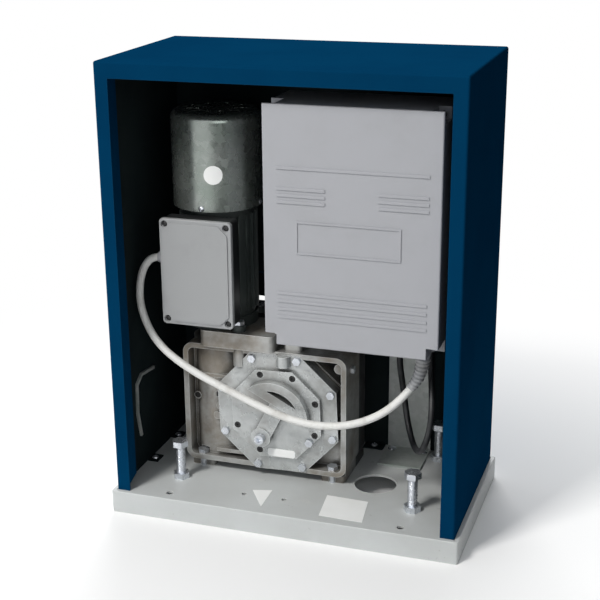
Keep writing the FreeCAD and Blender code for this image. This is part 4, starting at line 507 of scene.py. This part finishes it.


# --- Cabinet, rear hatch and pinion guard: folded sheet steel with a deep petrol blue coat.
# They come from the same coating line.  The room inside the cabinet is painted a dark greenish
# grey as the shade that fills it.

# Mask that is one inside a box given by two corners.
box_group, start, end = new_group(
    "inside_box", {"Place": "Vector", "Low": "Vector", "High": "Vector"}, {"Mask": "Float"})
above = vector_maths(box_group, "SUBTRACT", start["Place"], start["Low"])
below = vector_maths(box_group, "SUBTRACT", start["High"], start["Place"])
nearer = vector_maths(box_group, "MINIMUM", above, below)
least = maths(box_group, "MINIMUM", along_axis(box_group, nearer, "X"),
              along_axis(box_group, nearer, "Y"))
least = maths(box_group, "MINIMUM", least, along_axis(box_group, nearer, "Z"))
feed(box_group, maths(box_group, "GREATER_THAN", least, 0.0), end["Mask"])

cabinet_coat, tree, shade = new_finish("cabinet_coat")
place = object_place(tree)
cabinet_low, cabinet_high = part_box("cabinet_cover")
skin = 0.0012
flange_return = 0.0215
room = use_group(tree, box_group, {
    "Place": place,
    "Low": (cabinet_low.x + skin, cabinet_low.y + flange_return, -1.0),
    "High": (cabinet_high.x - skin, cabinet_high.y - skin, cabinet_high.z - skin)})["Mask"]
blue = powder_coat(tree, place, (0.0009, 0.036, 0.092), (0.0008, 0.030, 0.080),
                   (0.004, 0.048, 0.108), 1.0)
# Painted highlight: the folded edges are made a paler blue.
folded = edge_mask(tree, 0.0010, 0.97, 0.80)
blue = blend_colours(tree, blend_values(tree, folded, 0.0, 0.4), blue, (0.02, 0.09, 0.17))
# Painted shade: the inside of the cabinet is coloured a near black green-grey.
room_shade = powder_coat(tree, place, (0.012, 0.018, 0.020), (0.020, 0.028, 0.029),
                        (0.035, 0.043, 0.042), 1.0)
tree.links.new(blend_colours(tree, room, blue, room_shade), shade.inputs["Base Color"])
tree.links.new(blend_values(tree, room, 0.44, 0.6), shade.inputs["Roughness"])
shade.inputs["Specular IOR Level"].default_value = 0.0
add_grain(tree, shade, place, 420.0, 1400.0, 0.35, 0.00008)
coat(["cabinet_cover", "rear_hatch", "pinion_guard"], cabinet_coat)


# --- Gearbox, covers, motor neck and release lever: raw pressure-cast aluminium.
# The skin is matt and slightly rough from the die and stained warm by oil.  It is painted
# brighter along its edges, partly as fettled metal and partly as a highlight.

# Painted shade in hollows and inner corners, from how much of the sky each point sees.
hollow_shade_group, start, end = new_group(
    "hollow_shade", {"Reach": "Float", "From": "Float", "To": "Float"}, {"Mask": "Float"})
hollow = hollow_shade_group.nodes.new("ShaderNodeAmbientOcclusion")
hollow.samples = 8
feed(hollow_shade_group, start["Reach"], hollow.inputs["Distance"])
feed(hollow_shade_group, spread(hollow_shade_group, hollow.outputs["AO"], start["From"], start["To"]),
     end["Mask"])


def cast_finish(name, bright, stained, roughness, rear_shade_from=None):
    """Raw casting; past the given place along Y, if there is one, it is painted black as shade."""
    material, tree, shade = new_finish(name)
    place = object_place(tree)
    stain = add_mottle(tree, place, 13.0, 0.42, 0.66)
    colour = blend_colours(tree, stain, bright, stained)
    fine = add_mottle(tree, place, 110.0, 0.35, 0.85)
    darker = tuple(channel * 0.5 for channel in stained)
    colour = blend_colours(tree, blend_values(tree, fine, 0.0, 0.3), colour, darker)
    # Painted shade: hollows and inner corners are darkened.
    hollow_shade = use_group(tree, hollow_shade_group, {"Reach": 0.016, "From": 0.80, "To": 0.30})["Mask"]
    hollow_shade_colour = tuple(channel * 0.22 for channel in stained)
    colour = blend_colours(tree, blend_values(tree, hollow_shade, 0.0, 0.85), colour, hollow_shade_colour)
    # Edges made brighter: partly fettled metal, partly painted highlight.
    edge = edge_mask(tree, 0.0016, 0.98, 0.80)
    fettled_edge_and_highlight = tuple(min(1.0, channel * 1.5) for channel in bright)
    colour = blend_colours(tree, edge, colour, fettled_edge_and_highlight)
    # Painted shade: the rear of the housing, deep in the cabinet, is made black.
    if rear_shade_from is not None:
        rear_shade = use_group(tree, box_group, {"Place": place, "Low": (-1.0, rear_shade_from, -1.0),
                                             "High": (1.0, 1.0, 1.0)})["Mask"]
        colour = blend_colours(tree, rear_shade, colour, (0.014, 0.013, 0.012))
    tree.links.new(colour, shade.inputs["Base Color"])
    shade.inputs["Metallic"].default_value = 0.5
    tree.links.new(blend_values(tree, stain, roughness, roughness + 0.16),
                   shade.inputs["Roughness"])
    add_grain(tree, shade, place, 90.0, 700.0, 0.35, 0.0007)
    return material


rear_shade_length = 0.045
housing_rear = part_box("gearbox_housing")[1].y - rear_shade_length
casting = cast_finish("casting", (0.43, 0.435, 0.425), (0.26, 0.232, 0.195), 0.36, housing_rear)
fettled = cast_finish("fettled_casting", (0.52, 0.54, 0.54), (0.33, 0.325, 0.31), 0.26)
coat(["gearbox_housing", "motor_neck"], casting)
coat(["gearbox_cover", "bearing_cap", "release_lever"], fettled)


# --- Cored holes beside the worm: two small round recesses left by core pins in the casting.
# Each is a raised machined lip round a shallow bottom painted black as the shade of a deep hole,
# on the front of the worm's tower.
# Painted shade: the bottom of each hole is black.
core_shade_black = cast_finish("core_shade_black", (0.03, 0.03, 0.03), (0.015, 0.014, 0.013), 0.7)
core_lip = 0.0006
core_sunk = 0.005
core_sides = 40


def cored_hole(name, at, radius, rise):
    """Lathe a lip and its bottom about an axis along Y; at is the middle of the bottom."""
    profile = [(radius + core_lip, core_sunk), (radius + core_lip, -rise), (radius, -rise),
               (radius * 0.96, -0.0001)]
    shape = bmesh.new()
    rings = []
    for reach, depth in profile:
        ring = []
        for index in range(core_sides):
            angle = 2 * math.pi * index / core_sides
            ring.append(shape.verts.new((at[0] + reach * math.cos(angle), at[1] + depth,
                                         at[2] + reach * math.sin(angle))))
        rings.append(ring)
    bridge(shape, rings)
    shape.faces.new(rings[0])
    bottom = shape.faces.new(rings[-1])
    bottom.material_index = 1
    piece = finished_piece(shape, name, casting, core_shade_black)
    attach(piece, "base")


cored_hole("cored_hole_left", (-0.1525, -0.0362, 0.1295), 0.0046, 0.0008)
cored_hole("cored_hole_right", (-0.1215, -0.0411, 0.1365), 0.0038, 0.0006)


# --- Screws, bolts, nuts and pins: steel with a bright zinc plate, or blackened; the black of
# the cap screws is painted shade in their recesses.
# The plate is faintly blue, and duller in patches where it has been handled.
def plated_finish(name, bright, dull, roughness, metallic=0.9):
    """Bare or plated metal, duller in patches."""
    material, tree, shade = new_finish(name)
    place = object_place(tree)
    patch = add_mottle(tree, place, 90.0, 0.4, 0.7)
    tree.links.new(blend_colours(tree, patch, bright, dull), shade.inputs["Base Color"])
    shade.inputs["Metallic"].default_value = metallic
    tree.links.new(blend_values(tree, patch, roughness, roughness + 0.18),
                   shade.inputs["Roughness"])
    add_grain(tree, shade, place, 300.0, 1800.0, 0.5, 0.00008)
    return material


zinc = plated_finish("zinc_plate", (0.70, 0.73, 0.78), (0.59, 0.615, 0.655), 0.26)
black_oxide_and_shade = plated_finish("black_oxide_and_shade", (0.045, 0.045, 0.046), (0.02, 0.02, 0.02), 0.4, 0.5)
coat(["levelling_bolts", "levelling_nuts", "sheet_screws", "cover_bolts", "foot_bolts",
      "filler_plug", "lever_screw", "motor_bolts", "machine_screws",
      "board_standoffs", "bracket_screws", "limit_lever", "limit_pin", "lever_nut"], zinc)
# Painted shade: the cap screws in their recesses are coloured black.
coat(["cap_screws", "terminal_lid_screws", "control_lid_screws"], black_oxide_and_shade)


# --- Threads of the levelling bolts: a rolled thread runs up each shank from nut to head.
# It is cut from one spiral, set on the axis of each of the four bolts.
def add_inputs(tree, kinds):
    """Named inputs of a geometry tree, given back as a table of their identifiers."""
    return {name: tree.interface.new_socket(name=name, in_out="INPUT",
                                            socket_type=kind).identifier
            for name, kind in kinds}


thread_tree = bpy.data.node_groups.new("screw_thread", "GeometryNodeTree")
thread_inputs = add_inputs(thread_tree, [
    ("Places", "NodeSocketGeometry"), ("Radius", "NodeSocketFloat"),
    ("Turns", "NodeSocketFloat"), ("Height", "NodeSocketFloat"),
    ("Ridge", "NodeSocketFloat"), ("Finish", "NodeSocketMaterial")])
thread_tree.interface.new_socket(name="Thread", in_out="OUTPUT",
                                 socket_type="NodeSocketGeometry")
source = thread_tree.nodes.new("NodeGroupInput")
result = thread_tree.nodes.new("NodeGroupOutput")
spiral = thread_tree.nodes.new("GeometryNodeCurveSpiral")
spiral.inputs["Resolution"].default_value = 24
ridge = thread_tree.nodes.new("GeometryNodeCurvePrimitiveCircle")
ridge.inputs["Resolution"].default_value = 4
sweep = thread_tree.nodes.new("GeometryNodeCurveToMesh")
sweep.inputs["Fill Caps"].default_value = True
place_each = thread_tree.nodes.new("GeometryNodeInstanceOnPoints")
make_real = thread_tree.nodes.new("GeometryNodeRealizeInstances")
finish_all = thread_tree.nodes.new("GeometryNodeSetMaterial")
join = thread_tree.links.new
join(source.outputs["Radius"], spiral.inputs["Start Radius"])
join(source.outputs["Radius"], spiral.inputs["End Radius"])
join(source.outputs["Turns"], spiral.inputs["Rotations"])
join(source.outputs["Height"], spiral.inputs["Height"])
join(source.outputs["Ridge"], ridge.inputs["Radius"])
join(spiral.outputs["Curve"], sweep.inputs["Curve"])
join(ridge.outputs["Curve"], sweep.inputs["Profile Curve"])
join(source.outputs["Places"], place_each.inputs["Points"])
join(sweep.outputs["Mesh"], place_each.inputs["Instance"])
join(place_each.outputs["Instances"], make_real.inputs["Geometry"])
join(make_real.outputs["Geometry"], finish_all.inputs["Geometry"])
join(source.outputs["Finish"], finish_all.inputs["Material"])
join(finish_all.outputs["Geometry"], result.inputs["Thread"])

bolts_low, bolts_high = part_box("levelling_bolts")
head_height = 0.0088
head_flats = 0.00972
head_corners = head_flats / math.cos(math.radians(30.0))
nuts_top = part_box("levelling_nuts")[1].z
thread_height = bolts_high.z - head_height - nuts_top
thread_pitch = 0.00175
thread_radius = 0.00585
thread_ridge = 0.0006
thread_lift = 0.0005
seats = [(x, y, nuts_top + thread_lift)
         for x in (bolts_low.x + head_corners, bolts_high.x - head_corners)
         for y in (bolts_low.y + head_flats, bolts_high.y - head_flats)]
thread_mesh = bpy.data.meshes.new("levelling_threads")
thread_mesh.from_pydata(seats, [], [])
threads = bpy.data.objects.new("levelling_threads", thread_mesh)
scene.collection.objects.link(threads)
winding = threads.modifiers.new("screw_thread", "NODES")
winding.node_group = thread_tree
winding[thread_inputs["Radius"]] = thread_radius
winding[thread_inputs["Turns"]] = thread_height / thread_pitch
winding[thread_inputs["Height"]] = thread_height
winding[thread_inputs["Ridge"]] = thread_ridge
winding[thread_inputs["Finish"]] = zinc
graph = bpy.context.evaluated_depsgraph_get()
thread_result = bpy.data.meshes.new_from_object(threads.evaluated_get(graph))
threads.modifiers.clear()
threads.data = thread_result
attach(threads, "base")


# --- Galvanised sheet: fan cowl, control box bracket, switch shelf and wall strip.
# Hot-dip zinc leaves flat crystals a few millimetres across, each with its own grey.
def spangled_finish(name, light, dark, crystal, roughness, metallic):
    """Hot-dip zinc; crystal is how many of its crystals go to a metre."""
    material, tree, shade = new_finish(name)
    place = object_place(tree)
    cells = tree.nodes.new("ShaderNodeTexVoronoi")
    cells.inputs["Scale"].default_value = crystal
    tree.links.new(place, cells.inputs["Vector"])
    grey = tree.nodes.new("ShaderNodeSeparateColor")
    tree.links.new(cells.outputs["Color"], grey.inputs["Color"])
    colour = blend_colours(tree, grey.outputs["Red"], light, dark)
    tarnish = add_mottle(tree, place, 18.0, 0.35, 0.8)
    greenish = tuple(a * b for a, b in zip(dark, (0.80, 0.88, 0.82)))
    tree.links.new(blend_colours(tree, tarnish, colour, greenish), shade.inputs["Base Color"])
    shade.inputs["Metallic"].default_value = metallic
    tree.links.new(blend_values(tree, grey.outputs["Green"], roughness, roughness + 0.10),
                   shade.inputs["Roughness"])
    add_grain(tree, shade, place, 80.0, 900.0, 0.3, 0.0001)
    return material


cowl_zinc = spangled_finish("cowl_zinc", (0.37, 0.40, 0.38), (0.30, 0.33, 0.31), 120.0,
                            0.22, 0.8)
sheet_zinc = spangled_finish("sheet_zinc", (0.52, 0.54, 0.53), (0.44, 0.46, 0.45), 150.0,
                             0.36, 0.4)
coat(["fan_cowl"], cowl_zinc)
shelf_steel = spangled_finish("shelf_steel", (0.20, 0.185, 0.165), (0.15, 0.135, 0.12), 150.0,
                              0.38, 0.4)
coat(["control_bracket", "wall_strip", "run_capacitor"], sheet_zinc)
coat(["limit_shelf"], shelf_steel)


# --- Pinion, shafts and keys: machined carbon steel under a thin film of oil.
# The worm wheel is cast bronze and the windings are varnished copper wire.  The pinion's end
# faces are painted dark as shade, its flanks pale bluish as painted reflection, its edges with a
# painted highlight, and its recess round the bright hub near black.

# Mask that is one between two radii about an axis along Y.
ring_group, start, end = new_group(
    "ring_about_axis", {"Place": "Vector", "Middle": "Vector", "Inner": "Float",
                        "Outer": "Float"}, {"Mask": "Float"})
offset = vector_maths(ring_group, "SUBTRACT", start["Place"], start["Middle"])
flat_offset = vector_maths(ring_group, "MULTIPLY", offset, (1.0, 0.0, 1.0))
from_axis = vector_maths(ring_group, "LENGTH", flat_offset)
past_inner = maths(ring_group, "GREATER_THAN", from_axis, start["Inner"])
within_outer = maths(ring_group, "LESS_THAN", from_axis, start["Outer"])
feed(ring_group, maths(ring_group, "MULTIPLY", past_inner, within_outer), end["Mask"])

pinion_low, pinion_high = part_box("drive_pinion")
hub_radius = 0.0233
recess_radius = 0.0352
pinion_steel, tree, shade = new_finish("pinion_steel")
place = object_place(tree)
handled = add_mottle(tree, place, 55.0, 0.35, 0.75)
# Painted light: end faces dark as shade, tooth flanks pale bluish as a reflection.
shaded_face_colour = blend_colours(tree, handled, (0.17, 0.172, 0.150), (0.105, 0.106, 0.088))
lit_flank_colour = blend_colours(tree, handled, (0.60, 0.66, 0.68), (0.30, 0.34, 0.35))
facing = tree.nodes.new("ShaderNodeNewGeometry").outputs["Normal"]
endwise = maths(tree, "ABSOLUTE", along_axis(tree, facing, "Y"))
pinion_colour = blend_colours(tree, endwise, lit_flank_colour, shaded_face_colour)
# Painted highlight on the tooth edges.
pinion_edge_highlight = edge_mask(tree, 0.0010, 0.98, 0.80)
pinion_colour = blend_colours(tree, pinion_edge_highlight, pinion_colour, (0.70, 0.78, 0.82))
# The recess round the hub is painted near black and less metallic.
recess_ring = use_group(tree, ring_group, {
    "Place": place, "Middle": (pinion_low + pinion_high) / 2, "Inner": hub_radius,
    "Outer": recess_radius})["Mask"]
tree.links.new(blend_colours(tree, recess_ring, pinion_colour, (0.005, 0.005, 0.006)),
               shade.inputs["Base Color"])
tree.links.new(blend_values(tree, recess_ring, 0.9, 0.1), shade.inputs["Metallic"])
tree.links.new(blend_values(tree, handled, 0.24, 0.36), shade.inputs["Roughness"])
add_grain(tree, shade, place, 240.0, 1400.0, 0.5, 0.00008)
coat(["drive_pinion"], pinion_steel)

gear_steel = plated_finish("gear_steel", (0.42, 0.40, 0.375), (0.25, 0.225, 0.20), 0.30)
browned_steel = plated_finish("browned_steel", (0.19, 0.175, 0.160), (0.12, 0.11, 0.10), 0.32)
bronze = plated_finish("bronze", (0.62, 0.40, 0.18), (0.45, 0.27, 0.11), 0.36)
copper = plated_finish("copper_wire", (0.55, 0.22, 0.10), (0.38, 0.14, 0.06), 0.34)
coat(["pinion_key", "output_shaft", "worm_shaft", "rotor_core", "stator_core",
      "rotor_bearings", "shaft_bearings"], gear_steel)
coat(["pinion_retainer"], browned_steel)
coat(["worm_wheel"], bronze)
coat(["stator_windings"], copper)


# --- Moulded plastic: control box, terminal box, glands, switches, and the motor's paint.
# The boxes have a fine spark-eroded grain and catch dust on their faces.
def moulded_finish(name, clean, dusty, roughness):
    """Moulded plastic or thick paint, dusty on its faces; paler along its edges, as wear and as
    painted highlight.
    """
    material, tree, shade = new_finish(name)
    place = object_place(tree)
    dust = add_mottle(tree, place, 16.0, 0.45, 0.85)
    colour = blend_colours(tree, dust, clean, dusty)
    # Edges made paler: partly wear, partly painted highlight.
    edge = edge_mask(tree, 0.0008, 0.98, 0.80)
    worn_and_lit_edge = tuple(min(1.0, channel * 1.25 + 0.01) for channel in clean)
    tree.links.new(blend_colours(tree, blend_values(tree, edge, 0.0, 0.6), colour, worn_and_lit_edge),
                   shade.inputs["Base Color"])
    tree.links.new(blend_values(tree, dust, roughness, roughness + 0.1),
                   shade.inputs["Roughness"])
    shade.inputs["Specular IOR Level"].default_value = 0.35
    add_grain(tree, shade, place, 260.0, 2200.0, 0.6, 0.0001)
    return material


box_grey = moulded_finish("box_grey", (0.37, 0.376, 0.40), (0.34, 0.345, 0.362), 0.46)
lid_grey = moulded_finish("lid_grey", (0.33, 0.338, 0.345), (0.27, 0.275, 0.28), 0.4)
box_black = moulded_finish("box_black", (0.012, 0.013, 0.014), (0.03, 0.03, 0.032), 0.4)
motor_paint = moulded_finish("motor_paint", (0.040, 0.050, 0.048), (0.07, 0.08, 0.075), 0.42)
board_green = moulded_finish("board_green", (0.02, 0.13, 0.05), (0.03, 0.15, 0.06), 0.3)
seal_rubber = moulded_finish("seal_rubber", (0.014, 0.014, 0.014), (0.03, 0.03, 0.03), 0.6)
coat(["control_box", "control_lid", "control_glands", "terminal_gland"], box_grey)
coat(["terminal_lid"], lid_grey)
coat(["terminal_box", "terminal_block", "board_parts", "limit_switches", "cooling_fan"], box_black)
coat(["motor_frame", "lower_shield", "upper_shield"], motor_paint)
coat(["control_board"], board_green)
coat(["shaft_seal"], seal_rubber)


# --- Bare labels: white film stuck on the cowl, the bearing cap and the tray.
# Each is a thin plate with nothing printed on it; the one on the cowl follows its curve.
label_white = moulded_finish("label_white", (0.88, 0.89, 0.88), (0.80, 0.81, 0.79), 0.4)
film_front = 0.00035
film_back = 0.00002


def film(name, front, back):
    """Closed thin plate between two matching outlines of points."""
    shape = bmesh.new()
    top = [shape.verts.new(point) for point in front]
    bottom = [shape.verts.new(point) for point in back]
    bridge(shape, [top, bottom])
    shape.faces.new(top)
    shape.faces.new(bottom[::-1])
    piece = finished_piece(shape, name, label_white)
    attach(piece, "base")


tray_top = 0.030
tray_labels = {
    "tray_label": [(0.0437, -0.0808), (0.0993, -0.0829), (0.1065, -0.1384), (0.0496, -0.1368)],
    "tray_arrow_label": [(-0.028, -0.1364), (-0.054, -0.096), (-0.029, -0.0893)]}
for name, outline in tray_labels.items():
    film(name, [(x, y, tray_top + film_front) for x, y in outline],
         [(x, y, tray_top + film_back) for x, y in outline])

cap_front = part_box("bearing_cap")[0].y
cap_label_middle = (-0.027, 0.0695)
cap_label_half = (0.019, 0.0055)
cap_label_corner = 0.003
cap_label_steps = 32
cap_outline = []
for index in range(cap_label_steps):
    angle = 2 * math.pi * (index + 0.5) / cap_label_steps
    across, up = math.cos(angle), math.sin(angle)
    corner_x = math.copysign(cap_label_half[0] - cap_label_corner, across)
    corner_z = math.copysign(cap_label_half[1] - cap_label_corner, up)
    cap_outline.append((cap_label_middle[0] + corner_x + cap_label_corner * across,
                        cap_label_middle[1] + corner_z + cap_label_corner * up))
film("cap_label", [(x, cap_front - film_front, z) for x, z in cap_outline],
     [(x, cap_front - film_back, z) for x, z in cap_outline])

cowl_low, cowl_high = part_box("fan_cowl")
cowl_middle = (cowl_low + cowl_high) / 2
cowl_radius = (cowl_high.x - cowl_low.x) / 2
sticker_radius = 0.012
sticker_turn = math.radians(16.5)
sticker_z = 0.440
sticker_rings = 5
sticker_sides = 40


def on_cowl(across, up, lift):
    """Point on the cowl's skin, from distances round and up it from the sticker's middle."""
    angle = sticker_turn + across / cowl_radius
    reach = cowl_radius + lift
    return Vector((cowl_middle.x + reach * math.sin(angle),
                   cowl_middle.y - reach * math.cos(angle), sticker_z + up))


def sticker_ring(shape, radius, lift):
    """Corners of a circle that lies on the cowl round the sticker's middle."""
    ring = []
    for index in range(sticker_sides):
        angle = 2 * math.pi * index / sticker_sides
        point = on_cowl(radius * math.cos(angle), radius * math.sin(angle), lift)
        ring.append(shape.verts.new(point))
    return ring


def close_ring(shape, ring, lift):
    """Fill a ring of the sticker with a fan about its middle."""
    middle_corner = shape.verts.new(on_cowl(0.0, 0.0, lift))
    for index in range(sticker_sides):
        shape.faces.new((middle_corner, ring[index], ring[(index + 1) % sticker_sides]))


sticker = bmesh.new()
rings = [sticker_ring(sticker, sticker_radius * (step + 1) / sticker_rings, film_front)
         for step in range(sticker_rings)]
rings.append(sticker_ring(sticker, sticker_radius, film_back))
bridge(sticker, rings)
close_ring(sticker, rings[0], film_front)
close_ring(sticker, rings[-1], film_back)
cowl_sticker = finished_piece(sticker, "cowl_sticker", label_white)
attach(cowl_sticker, "base")
